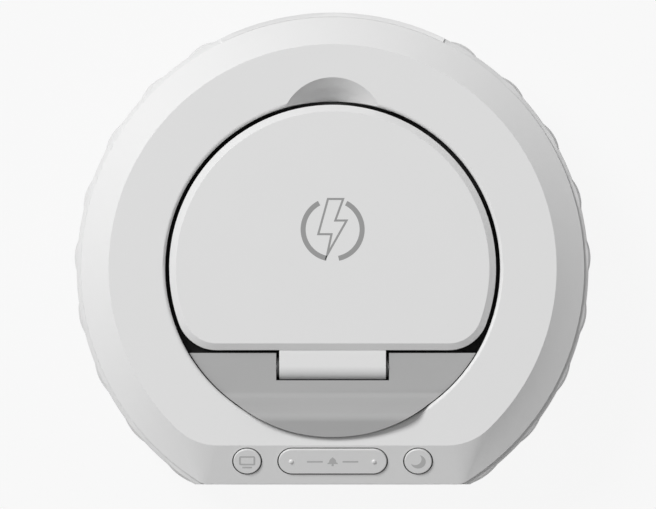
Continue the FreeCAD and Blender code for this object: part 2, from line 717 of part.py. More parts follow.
def make_lower_housing():
    body = new_body("lower_housing")
    loft(body, "Additive", (HOUSING_FOOT, rim_outline("sizes.foot_inset")), (CHEEK, rim_outline()))
    solid(body, [rim_outline()], CHEEK, "sizes.base_rise")
    inner_cheek = f"({CHEEK} + sizes.shell_wall / 2)"
    loft(body, "Subtractive", (FLOOR, rim_outline("(sizes.foot_inset + sizes.shell_wall)")),
         (inner_cheek, inner_rim_outline()))
    cut(body, [inner_rim_outline()], inner_cheek, "sizes.base_rise")
    core = [ring_sector(CORE_INNER, CORE_RADIUS, start, end)
            for start, end in (("-sizes.core_front_angle", "(90 - sizes.rear_half_angle)"),
                               ("(90 + sizes.rear_half_angle)", "(180 + sizes.core_front_angle)"))]
    solid(body, core, FLOOR, CORE_TOP)
    solid(body, four_corners("sizes.post_radius", POST_SIDE, POST_REACH),
          FLOOR, "sizes.post_top")
    solid(body, four_corners("sizes.board_post_radius", BOARD_POST_SIDE,
                             BOARD_POST_REACH), FLOOR, MAIN_BOARD_FOOT)
    cut(body, four_corners("sizes.post_bore", POST_SIDE, POST_REACH),
        HOUSING_FOOT, SCREW_SEAT)
    cut(body, four_corners("(sizes.case_screw_radius + sizes.screw_gap)", POST_SIDE,
                           POST_REACH), SCREW_SEAT, "sizes.post_top")
    cut(body, four_corners("(sizes.board_screw_radius + sizes.screw_gap)", BOARD_POST_SIDE,
                           BOARD_POST_REACH), FLOOR, MAIN_BOARD_FOOT)
    cut(body, [rim_outline("(sizes.foot_inset + sizes.mat_inset - sizes.seat_gap)")],
        HOUSING_FOOT, "sizes.mat_thickness")


def make_base_mat():
    body = new_body("base_mat")
    solid(body, [rim_outline("(sizes.foot_inset + sizes.mat_inset)")], "0", "sizes.mat_thickness")


def make_ballast_plate():
    body = new_body("ballast_plate")
    solid(body, [circle(BALLAST_RADIUS)], FLOOR, f"({FLOOR} + sizes.ballast_thickness)")


# Recess floor and anti-slip ledge

def make_pad_tray():
    body = new_body("pad_tray")
    solid(body, [circle(TRAY_RADIUS)], TRAY_FOOT, TRAY_TOP)
    cut(body, [centred_rectangle(TRAY_RADIUS, scaled(-1, TRAY_RADIUS), scaled(-1, TRAY_FRONT))],
        TRAY_FOOT, TRAY_TOP)
    solid(body, [circle(RECESS_OUTER), circle("sizes.recess_radius")], TRAY_TOP, CUP_TOP)
    cut(body, [circle("(sizes.notch_radius + sizes.notch_wall + sizes.seat_gap)", "0", NOTCH_REACH)],
        TRAY_TOP, CUP_TOP)
    lugs = [rectangle(*sorted_ends(side, LUG_INNER, LUG_OUTER),
                      f"(-{HINGE_REACH} - sizes.lug_half)", f"(-{HINGE_REACH} + sizes.lug_half)")
            for side in LEFT_AND_RIGHT]
    solid(body, lugs, TRAY_TOP, LUG_TOP)
    cut(body, four_corners("(sizes.small_screw_radius + sizes.screw_gap)", TRAY_SCREW_SIDE,
                           TRAY_SCREW_REACH), TRAY_FOOT, TRAY_TOP)
    cut(body, [circle("(sizes.pin_radius + sizes.running_gap)", scaled(-1, HINGE_REACH), HINGE_HEIGHT)],
        scaled(-1, LUG_OUTER), LUG_OUTER, plane="YZ_Plane")


def sorted_ends(side, near, far):
    """The left and right ends of a stretch on one side of the clock."""
    return (near, far) if side > 0 else (scaled(-1, far), scaled(-1, near))


def make_phone_ledge():
    body = new_body("phone_ledge")
    solid(body, [disc_segment(LEDGE_RADIUS, LEDGE_START, -1)], TRAY_TOP, CREST)
    clear = f"({CREST} + sizes.crest_height)"
    cut(body, [polygon((scaled(-1, f"({LEDGE_START} - sizes.ledge_gap)"), clear),
                       (scaled(-1, f"({LEDGE_START} - sizes.ledge_gap)"), f"({FACE} - sizes.ledge_drop)"),
                       (scaled(-1, LEDGE_FOOT_REACH), f"({FACE} - sizes.ledge_drop)"),
                       (scaled(-1, CREST_REACH), CREST),
                       (scaled(-1, LEDGE_RADIUS), f"({FACE} + sizes.lip_height)"),
                       ("-sizes.recess_radius", clear))],
        scaled(-1, "sizes.recess_radius"), "sizes.recess_radius", plane="YZ_Plane")
    round_edges(body, "sizes.crest_round", at_height(CREST))
    cut(body, [centred_rectangle(LUG_INNER,
                                 f"(-{HINGE_REACH} - sizes.knuckle_radius - sizes.knuckle_front_gap)",
                                 scaled(-1, f"({LEDGE_START} - sizes.ledge_gap)"))],
        TRAY_TOP, CREST)
    pockets = [centred_rectangle(f"({LUG_OUTER} + sizes.seat_gap)",
                                 f"(-{HINGE_REACH} - sizes.lug_half - sizes.seat_gap)",
                                 f"(-{HINGE_REACH} + sizes.lug_half + sizes.seat_gap)")]
    cut(body, pockets, TRAY_TOP, f"({LUG_TOP} + sizes.seat_gap)")


# Flip pad

def pad_screw_places(radius):
    return [circle(radius, scaled(side, PAD_SCREW_SIDE), reach)
            for side in LEFT_AND_RIGHT for reach in (PAD_SCREW_BACK, "-sizes.pad_screw_front")]


def make_pad_top_cover():
    body = new_body("pad_top_cover")
    solid(body, [pad_outline()], PAD_SPLIT, PAD_BEVEL_FOOT)
    loft(body, "Additive", (PAD_BEVEL_FOOT, pad_outline()), (FACE, pad_outline("sizes.pad_bevel")))
    cut(body, [pad_outline("sizes.pad_wall")], PAD_SPLIT, PAD_CEILING)
    solid(body, pad_screw_places("(sizes.small_screw_head + sizes.coil_wall / 2)"), PAD_SPLIT, PAD_CEILING)
    cut(body, pad_screw_places("(sizes.small_screw_radius + sizes.screw_gap)"), PAD_SPLIT,
        f"({PAD_FOOT} + sizes.small_screw_head_height + sizes.small_screw_length + sizes.screw_gap)")
    cut(body, [centred_rectangle("(sizes.knuckle_half + sizes.seat_gap)", "-sizes.pad_reach",
                                 "(-sizes.pad_reach + sizes.knuckle_root + sizes.seat_gap)")],
        PAD_SPLIT, f"({KNUCKLE_TOP} + sizes.knuckle_step / 2)")


def make_pad_bottom_cover():
    body = new_body("pad_bottom_cover")
    solid(body, [pad_outline()], PAD_FOOT, PAD_SPLIT)
    cut(body, [pad_outline("sizes.pad_wall")], PAD_FLOOR, PAD_SPLIT)
    solid(body, [centred_rectangle("sizes.knuckle_half", scaled(-1, HINGE_REACH),
                                   "(-sizes.pad_reach + sizes.knuckle_root)")],
          PAD_FOOT, KNUCKLE_TOP)
    solid(body, [circle("sizes.knuckle_radius", scaled(-1, HINGE_REACH), HINGE_HEIGHT)],
          "-sizes.knuckle_half", "sizes.knuckle_half", plane="YZ_Plane")
    cut(body, [circle("(sizes.pin_radius + sizes.knuckle_bore_gap)", scaled(-1, HINGE_REACH), HINGE_HEIGHT)],
        "-sizes.knuckle_half", "sizes.knuckle_half", plane="YZ_Plane")
    for ends in (("-sizes.knuckle_half", "(-sizes.knuckle_half + sizes.bush_length)"),
                 ("(sizes.knuckle_half - sizes.bush_length)", "sizes.knuckle_half")):
        cut(body, [circle("sizes.bush_radius", scaled(-1, HINGE_REACH), HINGE_HEIGHT)], *ends,
            plane="YZ_Plane")
    ring = [circle("sizes.coil_radius", "0", COIL_REACH),
            circle("(sizes.coil_radius - sizes.coil_wall)", "0", COIL_REACH)]
    solid(body, ring, PAD_FLOOR, ferrite_foot())
    solid(body, [circle("sizes.coil_wall", scaled(side, "sizes.pad_board_length / 4"),
                        scaled(-1, PAD_BOARD_REACH)) for side in LEFT_AND_RIGHT],
          PAD_FLOOR, f"({PAD_FLOOR} + sizes.pad_board_lift)")
    cut(body, pad_screw_places("(sizes.small_screw_radius + sizes.screw_gap)"), PAD_FOOT, PAD_SPLIT)
    cut(body, pad_screw_places("(sizes.small_screw_head + sizes.screw_gap)"), PAD_FOOT,
        f"({PAD_FOOT} + sizes.small_screw_head_height)")


def ferrite_foot():
    return f"({PAD_CEILING} - sizes.coil_thickness - sizes.ferrite_thickness)"


def make_charging_parts():
    ferrite_top = f"({PAD_CEILING} - sizes.coil_thickness)"
    coil = new_body("charge_coil")
    solid(coil, [circle("sizes.coil_radius", "0", COIL_REACH),
                 circle("sizes.coil_bore", "0", COIL_REACH)], ferrite_top, PAD_CEILING)
    ferrite = new_body("ferrite_plate")
    solid(ferrite, [circle("(sizes.coil_radius + sizes.ferrite_rim)", "0", COIL_REACH)],
          ferrite_foot(), ferrite_top)
    board = new_body("pad_circuit_board")
    board_foot = f"({PAD_FLOOR} + sizes.pad_board_lift)"
    solid(board, [centred_rectangle("(sizes.pad_board_length / 2)",
                                    f"(-{PAD_BOARD_REACH} - sizes.pad_board_width / 2)",
                                    f"(-{PAD_BOARD_REACH} + sizes.pad_board_width / 2)")],
          board_foot, f"({board_foot} + sizes.board_thickness)")


def make_hinge():
    pin = new_body("hinge_pin")
    axis = (scaled(-1, HINGE_REACH), HINGE_HEIGHT)
    solid(pin, [circle("sizes.pin_radius", *axis)], scaled(-1, LUG_OUTER), LUG_OUTER, plane="YZ_Plane")
    bush = new_body("hinge_bush_right")
    solid(bush, [circle("sizes.bush_radius", *axis)],
          "(sizes.knuckle_half - sizes.bush_length)", "sizes.knuckle_half", plane="YZ_Plane")
    solid(bush, [circle("(sizes.bush_radius + sizes.bush_flange_rim)", *axis)],
          "sizes.knuckle_half", "(sizes.knuckle_half + sizes.bush_flange)", plane="YZ_Plane")
    cut(bush, [circle("(sizes.pin_radius + sizes.running_gap)", *axis)],
        "(sizes.knuckle_half - sizes.bush_length)", "(sizes.knuckle_half + sizes.bush_flange)",
        plane="YZ_Plane")
    mirrored(bush, "hinge_bush_left")


# Buttons on the sloping strip. Each is made about its own place on the strip.

def make_button(label, x, half, dimples):
    body = new_body(label)

    def shape(radius):
        return pill(half, radius) if half else circle(radius)

    skirt = f"({STRIP_WALL} - sizes.skirt_cut)"
    reach = f"({half or 0} + sizes.button_radius)"
    solid(body, [shape("sizes.button_radius")], scaled(-1, skirt), "sizes.button_rise")
    round_edges(body, "sizes.button_edge", at_height("sizes.button_rise"))
    solid(body, [centred_rectangle(f"({reach} - sizes.catch_rim)", "-sizes.catch_half", "sizes.catch_half")],
          scaled(-1, CATCH_TOP), scaled(-1, skirt))
    catch_foot = f"({CATCH_TOP} + sizes.catch_thickness)"
    solid(body, [centred_rectangle(f"({reach} + sizes.catch_rim)", "-sizes.catch_half", "sizes.catch_half")],
          scaled(-1, catch_foot), scaled(-1, CATCH_TOP))
    solid(body, [circle("sizes.stem_radius")], scaled(-1, STEM_FOOT), scaled(-1, catch_foot))
    for side in dimples:
        add_dimple(body, side)
    on_strip(body, "Placement", x=x)


def add_dimple(body, side):
    """A small raised dome near one end of the long button."""
    dome = body.newObject("PartDesign::AdditiveSphere", "dimple")
    dome.AttachmentSupport = [(next(item for item in body.Origin.OriginFeatures
                                    if item.Role == "XY_Plane"), "")]
    dome.MapMode = "FlatFace"
    dome_radius = "((sizes.dimple_radius^2 + sizes.dimple_rise^2) / (2 * sizes.dimple_rise))"
    dome.setExpression("Radius", dome_radius)
    dome.setExpression("AttachmentOffset.Base.x", scaled(side, "sizes.dimple_offset"))
    dome.setExpression("AttachmentOffset.Base.z",
                       f"sizes.button_rise + sizes.dimple_rise - {dome_radius}")
    document.recompute()


def make_buttons():
    make_button("display_button", "-sizes.button_offset", None, ())
    make_button("snooze_button", "0", "sizes.snooze_half", LEFT_AND_RIGHT)
    make_button("night_light_button", "sizes.button_offset", None, ())
    board = new_body("button_board")
    solid(board, [centred_rectangle("sizes.button_board_half", "-sizes.button_board_front",
                                    "sizes.button_board_back")],
          "-sizes.button_board_thickness", "0")
    on_strip(board, "Placement", lead=scaled(-1, BUTTON_BOARD_TOP))
    switches = new_body("button_switches")
    middles = (scaled(-1, "sizes.button_offset"), "0", "sizes.button_offset")
    bodies = [rectangle(f"({middle} - sizes.switch_side / 2)", f"({middle} + sizes.switch_side / 2)",
                        "(-sizes.switch_side / 2)", "(sizes.switch_side / 2)") for middle in middles]
    group_of_solids(switches, bodies, "0", "sizes.switch_height")
    on_strip(switches, "Placement", lead=scaled(-1, BUTTON_BOARD_TOP))


def group_of_solids(body, outlines, low, high, plane="XY_Plane"):
    """Several separate solids of one kind in one body."""
    body.AllowCompound = True
    return solid(body, outlines, low, high, plane)


# Light bands, their lamps and the rear panel

def make_light_bands():
    band = new_body("light_band_right")
    rear_end = "(90 - sizes.rear_half_angle)"
    front_end = f"(-asin({RIM_REACH} / {BAND_RADIUS}) / 1deg - sizes.band_tail)"
    solid(band, [ring_sector(BAND_INNER, BAND_RADIUS, front_end, rear_end)],
          "sizes.base_rise", RIM_FOOT)
    solid(band, [ring_sector(LIP_RADIUS, BAND_RADIUS, front_end, rear_end)], RIM_FOOT, BAND_TOP)
    swelling = solid(band, [lobe(BAND_RADIUS, "sizes.lobe_rise", "sizes.lobe_angle")],
                     "sizes.base_rise", BAND_TOP, turn="sizes.lobe_first")
    repeat_round(band, swelling, "sizes.lobe_count", "(sizes.lobe_count - 1) * sizes.lobe_pitch")
    far = f"({BAND_RADIUS} + sizes.band_wall)"
    cut(band, [centred_rectangle(far, scaled(-1, far), scaled(-1, RIM_REACH))], "sizes.base_rise", BAND_TOP)
    mirrored(band, "light_band_left")


def make_led_strips():
    strip = new_body("led_strip_right")
    low = f"({DISPLAY_HEIGHT} - sizes.strip_height / 2)"
    high = f"({DISPLAY_HEIGHT} + sizes.strip_height / 2)"
    outer = f"({CORE_RADIUS} + sizes.strip_thickness)"
    start = "(-sizes.core_front_angle)"
    sweep = "(90 - sizes.rear_half_angle + sizes.core_front_angle)"
    solid(strip, [ring_sector(CORE_RADIUS, outer, start, f"({start} + {sweep})")], low, high)
    lamp = solid(strip, [rectangle(CORE_RADIUS, f"({outer} + sizes.lamp_rise)",
                                   "(-sizes.lamp_side / 2)", "(sizes.lamp_side / 2)")],
                 f"({DISPLAY_HEIGHT} - sizes.lamp_side / 2)",
                 f"({DISPLAY_HEIGHT} + sizes.lamp_side / 2)",
                 turn=f"({start} + {sweep} / sizes.lamp_count / 2)")
    repeat_round(strip, lamp, "sizes.lamp_count",
                 f"{sweep} * (sizes.lamp_count - 1) / sizes.lamp_count")
    mirrored(strip, "led_strip_left")


def make_rear_panel():
    body = new_body("rear_panel")
    solid(body, [ring_sector(BAND_INNER, BAND_RADIUS, "(90 - sizes.rear_half_angle)",
                             "(90 + sizes.rear_half_angle)")], "sizes.base_rise", RIM_FOOT)
    solid(body, [ring_sector(LIP_RADIUS, BAND_RADIUS, "(90 - sizes.rear_half_angle)",
                             "(90 + sizes.rear_half_angle)")], RIM_FOOT, BAND_TOP)
    solid(body, [disc_segment(BAND_RADIUS, BAY_BACK, 1)],
          f"({BAY_LOW} - sizes.bay_wall)", f"({BAY_HIGH} + sizes.bay_wall)")
    collar = "(sizes.speaker_radius + sizes.seat_gap + sizes.collar_wall)"
    solid(body, [circle(collar, "-sizes.speaker_side", DISPLAY_HEIGHT)],
          f"({BAY_BACK} - sizes.collar_depth)", BAY_BACK, plane="XZ_Plane")
    cut(body, [circle("(sizes.speaker_radius + sizes.seat_gap)", "-sizes.speaker_side",
                      DISPLAY_HEIGHT)],
        f"({BAY_BACK} - sizes.collar_depth)", BAY_BACK, plane="XZ_Plane")
    solid(body, [circle("sizes.key_post_radius", x, z) for x, z in key_post_places()],
          KEY_BOARD_FACE, BAY_BACK, plane="XZ_Plane")
    cut(body, [centred_rectangle("sizes.bay_half", BAY_FACE, BAND_RADIUS)],
        BAY_LOW, BAY_HIGH)
    cut(body, [circle("(sizes.key_radius + sizes.key_gap)", key_place(step), KEY_HEIGHT)
               for step in (-1, 0, 1)] +
        [pill("sizes.socket_half", "(sizes.socket_radius + sizes.key_gap)", "sizes.key_side",
              SOCKET_HEIGHT)],
        BAY_BACK, BAY_FACE, plane="XZ_Plane")
    middle = (number("sizes.grille_count") - 1) / 2
    slots = [pill("sizes.grille_half", "sizes.grille_radius", "-sizes.speaker_side",
                  f"({DISPLAY_HEIGHT} + {step - middle} * sizes.grille_pitch)")
             for step in range(int(number("sizes.grille_count")))]
    cut(body, slots, BAY_BACK, BAY_FACE, plane="XZ_Plane")


def key_place(step):
    return f"(sizes.key_side + {step} * sizes.key_pitch)"


def key_post_places():
    """Beside the power socket, on the line of its middle."""
    offset = "(sizes.key_board_half - sizes.key_post_radius - sizes.seat_gap)"
    return [(f"(sizes.key_side + {side} * {offset})", SOCKET_HEIGHT) for side in LEFT_AND_RIGHT]


def make_rear_keys():
    catch_outer = f"({BAY_BACK} - sizes.seat_gap)"
    catch_inner = f"({catch_outer} - sizes.key_catch)"
    switch_face = f"({KEY_BOARD_FACE} + sizes.key_switch_height)"
    stem_end = f"({switch_face} + sizes.key_travel + sizes.switch_gap)"
    for label, step in (("set_key", 1), ("minus_key", 0), ("plus_key", -1)):
        key = new_body(label)
        x = key_place(step)
        solid(key, [circle("sizes.key_radius", x, KEY_HEIGHT)], catch_outer,
              f"({BAY_FACE} + sizes.key_rise)", plane="XZ_Plane")
        solid(key, [circle("(sizes.key_radius + sizes.key_catch)", x, KEY_HEIGHT)],
              catch_inner, catch_outer, plane="XZ_Plane")
        solid(key, [circle("(sizes.key_radius / 2)", x, KEY_HEIGHT)], stem_end, catch_inner,
              plane="XZ_Plane")
    board = new_body("key_board")
    half = "sizes.key_board_half"
    solid(board, [rectangle(f"(sizes.key_side - {half})", f"(sizes.key_side + {half})",
                            f"({DISPLAY_HEIGHT} - {KEY_BOARD_HEIGHT} / 2)",
                            f"({DISPLAY_HEIGHT} + {KEY_BOARD_HEIGHT} / 2)")],
          f"({KEY_BOARD_FACE} - sizes.board_thickness)", KEY_BOARD_FACE, plane="XZ_Plane")
    switches = new_body("key_switches")
    bodies = [rectangle(f"({key_place(step)} - sizes.key_switch_side / 2)",
                        f"({key_place(step)} + sizes.key_switch_side / 2)",
                        f"({KEY_HEIGHT} - sizes.key_switch_side / 2)",
                        f"({KEY_HEIGHT} + sizes.key_switch_side / 2)") for step in (-1, 0, 1)]
    group_of_solids(switches, bodies, KEY_BOARD_FACE, switch_face, plane="XZ_Plane")


def make_power_socket():
    body = new_body("power_socket")
    mouth = f"({BAY_FACE} - sizes.seat_gap)"
    place = ("sizes.key_side", SOCKET_HEIGHT)
    inner = "(sizes.socket_radius - sizes.socket_shell)"
    solid(body, [pill("sizes.socket_half", "sizes.socket_radius", *place)], KEY_BOARD_FACE, mouth,
          plane="XZ_Plane")
    back = f"({KEY_BOARD_FACE} + sizes.socket_shell)"
    cut(body, [pill("sizes.socket_half", inner, *place)], back, mouth, plane="XZ_Plane")
    solid(body, [rectangle("(sizes.key_side - sizes.socket_half)", "(sizes.key_side + sizes.socket_half)",
                           f"({SOCKET_HEIGHT} - sizes.socket_tongue / 2)",
                           f"({SOCKET_HEIGHT} + sizes.socket_tongue / 2)")],
          KEY_BOARD_FACE, f"({mouth} - sizes.socket_tongue)", plane="XZ_Plane")


def make_speaker():
    body = new_body("speaker")
    place = ("-sizes.speaker_side", DISPLAY_HEIGHT)
    front = f"({BAY_BACK} - sizes.seat_gap)"
    back = f"({front} - sizes.speaker_depth)"
    solid(body, [circle("sizes.speaker_radius", *place)], back, front, plane="XZ_Plane")
    solid(body, [circle("sizes.magnet_radius", *place)], f"({back} - sizes.magnet_depth)", back,
          plane="XZ_Plane")


# Clock display on the flat front

def make_front_panel():
    body = new_body("front_panel")
    inner_half = f"sqrt({PANEL_FIT}^2 - {PANEL_BACK}^2)"
    plan = polygon((scaled(-1, PANEL_HALF), scaled(-1, RIM_REACH)), (PANEL_HALF, scaled(-1, RIM_REACH)),
                   (inner_half, scaled(-1, PANEL_BACK)), (scaled(-1, inner_half), scaled(-1, PANEL_BACK)))
    solid(body, [plan], "sizes.base_rise", RIM_FOOT)
    flange_back = scaled(-1, f"({PANEL_BACK} - sizes.window_flange_thickness)")
    walls = frame_outline("(sizes.window_flange + sizes.collar_wall)", WINDOW_HALF,
                          WINDOW_HEIGHT)
    seat = frame_outline("(sizes.window_flange + sizes.seat_gap)", WINDOW_HALF,
                         WINDOW_HEIGHT)
    solid(body, [walls], scaled(-1, PANEL_BACK), flange_back, plane="XZ_Plane")
    cut(body, [seat], scaled(-1, PANEL_BACK), flange_back, plane="XZ_Plane")
    cut(body, [rounded_window("sizes.seat_gap")], scaled(-1, RIM_REACH), scaled(-1, PANEL_BACK),
        plane="XZ_Plane")


def frame_outline(rim, half, height):
    return centred_rectangle(f"({half} + {rim})", f"({DISPLAY_HEIGHT} - {height} / 2 - {rim})",
                             f"({DISPLAY_HEIGHT} + {height} / 2 + {rim})")


def rounded_window(rim):
    """The window's outline, with round corners."""
    def draw(sketch):
        half_x = f"({WINDOW_HALF} - sizes.window_corner)"
        low = f"({DISPLAY_HEIGHT} - {WINDOW_HEIGHT} / 2 + sizes.window_corner)"
        high = f"({DISPLAY_HEIGHT} + {WINDOW_HEIGHT} / 2 - sizes.window_corner)"
        radius = f"(sizes.window_corner + {rim})"
        places = ((half_x, low, -90), (half_x, high, 0), (scaled(-1, half_x), high, 90),
                  (scaled(-1, half_x), low, 180))
        arcs = []
        for x, y, start in places:
            first = math.radians(start)
            corner = Part.Circle(vector(number(x), number(y)), FreeCAD.Vector(0, 0, 1), number(radius))
            arc = sketch.addGeometry(Part.ArcOfCircle(corner, first, first + math.pi / 2))
            place_point(sketch, arc, 3, x, y)
            arcs.append(arc)
        for arc, following in zip(arcs, arcs[1:] + arcs[:1]):
            line = sketch.addGeometry(Part.LineSegment(
                sketch.getPoint(arc, 2), sketch.getPoint(following, 1)))
            sketch.addConstraint(Sketcher.Constraint("Tangent", arc, 2, line, 1))
            sketch.addConstraint(Sketcher.Constraint("Tangent", line, 2, following, 1))
        bind(sketch, "Radius", arcs[0], to=radius)
    return draw


def make_display():
    window = new_body("display_window")
    solid(window, [rounded_window("0")], scaled(-1, f"({RIM_REACH} - sizes.window_inset)"),
          scaled(-1, PANEL_BACK), plane="XZ_Plane")
    solid(window, [frame_outline("sizes.window_flange", WINDOW_HALF, WINDOW_HEIGHT)],
          scaled(-1, PANEL_BACK), scaled(-1, f"({PANEL_BACK} - sizes.window_flange_thickness)"),
          plane="XZ_Plane")
    module = new_body("display_module")
    solid(module, [frame_outline("0", MODULE_HALF, MODULE_HEIGHT)],
          scaled(-1, MODULE_FACE), scaled(-1, MODULE_BACK), plane="XZ_Plane")
    solid(module, [frame_outline("sizes.module_board_rim", MODULE_HALF, MODULE_HEIGHT)],
          scaled(-1, MODULE_BACK), scaled(-1, f"({MODULE_BACK} - sizes.module_board_depth)"),
          plane="XZ_Plane")


# Clock electronics

def make_electronics():
    board = new_body("main_board")
    solid(board, [centred_rectangle(MAIN_BOARD_HALF, "(-sizes.main_board_width / 2)",
                                    "(sizes.main_board_width / 2)")],
          MAIN_BOARD_FOOT, MAIN_BOARD_TOP)
    chips = [rectangle(f"({x} - sizes.chip_side / 2)", f"({x} + sizes.chip_side / 2)",
                       "(-sizes.chip_side / 2)", "(sizes.chip_side / 2)")
             for x in ("-sizes.chip_offset", "(sizes.chip_side - sizes.chip_offset + sizes.chip_side / 2)")]
    solid(board, chips, MAIN_BOARD_TOP, f"({MAIN_BOARD_TOP} + sizes.chip_height)")
    cut(board, four_corners("(sizes.board_screw_radius + sizes.screw_gap)", BOARD_POST_SIDE,
                            BOARD_POST_REACH), MAIN_BOARD_FOOT, MAIN_BOARD_TOP)
    holder = new_body("cell_holder")
    holder_top = f"({MAIN_BOARD_TOP} + sizes.holder_height)"
    cell_foot = f"({holder_top} - sizes.cell_thickness)"
    solid(holder, [circle("sizes.holder_radius", HOLDER_SIDE)], MAIN_BOARD_TOP, holder_top)
    cut(holder, [circle("(sizes.cell_radius + sizes.seat_gap)", HOLDER_SIDE)],
        cell_foot, holder_top)
    cell = new_body("backup_cell")
    solid(cell, [circle("sizes.cell_radius", HOLDER_SIDE)], cell_foot, holder_top)


# Fasteners, one node for each kind

def make_screws(label, places, shank, head, head_height, length, seat, way):
    """Screws with round heads. The head lies on the far side of its seat from the shank."""
    body = new_body(label)
    body.AllowCompound = True
    tip = f"({seat} + {way} * {length})"
    crown = f"({seat} - {way} * {head_height})"
    shank_ends = (seat, tip) if way > 0 else (tip, seat)
    head_ends = (crown, seat) if way > 0 else (seat, crown)
    solid(body, places(head), *head_ends)
    solid(body, places(shank), *shank_ends)


def make_fasteners():
    make_screws("case_screws",
                lambda radius: four_corners(radius, POST_SIDE, POST_REACH),
                "sizes.case_screw_radius", "sizes.case_screw_head", "sizes.case_screw_head_height",
                "sizes.case_screw_length", SCREW_SEAT, 1)
    make_screws("tray_screws",
                lambda radius: four_corners(radius, TRAY_SCREW_SIDE, TRAY_SCREW_REACH),
                "sizes.small_screw_radius", "sizes.small_screw_head", "sizes.small_screw_head_height",
                "sizes.small_screw_length", TRAY_FOOT, 1)
    make_screws("pad_screws", pad_screw_places,
                "sizes.small_screw_radius", "sizes.small_screw_head", "sizes.small_screw_head_height",
                "sizes.small_screw_length", f"({PAD_FOOT} + sizes.small_screw_head_height)", 1)
    make_screws("board_screws",
                lambda radius: four_corners(radius, BOARD_POST_SIDE, BOARD_POST_REACH),
                "sizes.board_screw_radius", "sizes.small_screw_head", "sizes.small_screw_head_height",
                "sizes.small_screw_length", MAIN_BOARD_TOP, -1)


make_top_shell()
make_lower_housing()
make_base_mat()
make_ballast_plate()
make_pad_tray()
make_phone_ledge()
make_pad_top_cover()
make_pad_bottom_cover()
make_charging_parts()
make_hinge()
make_buttons()
make_light_bands()
make_led_strips()
make_rear_panel()
make_rear_keys()
make_power_socket()
make_speaker()
make_front_panel()
make_display()
make_electronics()
make_fasteners()
document.recompute()

failed = [item.Name for item in document.Objects
          if {"Invalid", "Error"} & set(item.State)]
failed += [label for label, node in finished.items()
           if node.Shape.isNull() or not node.Shape.isValid() or not node.Shape.Solids]
if failed:
    raise ValueError(f"these did not build: {failed}")
for label, node in finished.items():
    node.Shape.exportStep(f"parts/{label}.step")
    print(label, len(node.Shape.Solids), round(node.Shape.Volume, 1))
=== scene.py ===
import math

import bmesh
import bpy
from mathutils import Matrix, Vector


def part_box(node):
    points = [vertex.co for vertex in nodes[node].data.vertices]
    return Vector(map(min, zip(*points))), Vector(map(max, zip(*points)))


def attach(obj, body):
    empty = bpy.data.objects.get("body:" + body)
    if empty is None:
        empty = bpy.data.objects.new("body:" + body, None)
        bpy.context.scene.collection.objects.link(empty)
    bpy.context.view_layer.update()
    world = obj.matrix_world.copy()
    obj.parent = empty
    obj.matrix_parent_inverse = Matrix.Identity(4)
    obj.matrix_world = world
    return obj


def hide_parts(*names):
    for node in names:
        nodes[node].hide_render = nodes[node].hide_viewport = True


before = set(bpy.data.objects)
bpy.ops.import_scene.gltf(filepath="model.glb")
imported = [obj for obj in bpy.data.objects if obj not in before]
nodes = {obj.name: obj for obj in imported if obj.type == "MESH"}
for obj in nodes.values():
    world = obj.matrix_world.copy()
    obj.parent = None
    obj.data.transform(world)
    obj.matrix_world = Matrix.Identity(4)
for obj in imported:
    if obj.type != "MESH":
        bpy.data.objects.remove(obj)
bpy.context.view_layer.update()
mm = 0.001
same = 1e-6  # points closer than this are one
print("frame loaded:", len(nodes), "nodes")


# shader groups, shared by the finishes

def addNode(tree, kind, links=None, **settings):
    # settings name a property in lower case, or a socket by its own name with _ for a space
    made = tree.nodes.new(kind)
    for key, value in settings.items():
        if hasattr(made, key):
            setattr(made, key, value)
        else:
            made.inputs[key.replace("_", " ")].default_value = value
    for socket, source in (links or {}).items():
        tree.links.new(source, made.inputs[socket])
    return made


def mathNode(tree, operation, first, second, third=None):
    # a sum over sockets and plain numbers
    made = addNode(tree, "ShaderNodeMath", operation=operation)
    for index, source in enumerate((first, second, third)):
        if source is None:
            continue
        if isinstance(source, (int, float)):
            made.inputs[index].default_value = source
        else:
            tree.links.new(source, made.inputs[index])
    return made.outputs[0]


def mixColours(tree, amount, first, second):
    mixer = addNode(tree, "ShaderNodeMix", data_type="RGBA")
    tree.links.new(amount, mixer.inputs[0])
    for index, source in ((6, first), (7, second)):
        if isinstance(source, tuple):
            mixer.inputs[index].default_value = (*source, 1)
        else:
            tree.links.new(source, mixer.inputs[index])
    return mixer.outputs[2]


def newGroup(name, inputs, outputs):
    group = bpy.data.node_groups.new(name, "ShaderNodeTree")
    for label, kind, value in inputs:
        socket = group.interface.new_socket(name=label, in_out="INPUT", socket_type=kind)
        socket.default_value = value
    for label, kind in outputs:
        group.interface.new_socket(name=label, in_out="OUTPUT", socket_type=kind)
    return (group, group.nodes.new("NodeGroupInput").outputs,
            group.nodes.new("NodeGroupOutput").inputs)


skinOutputs = [("Color", "NodeSocketColor"), ("Roughness", "NodeSocketFloat"),
               ("Height", "NodeSocketFloat")]


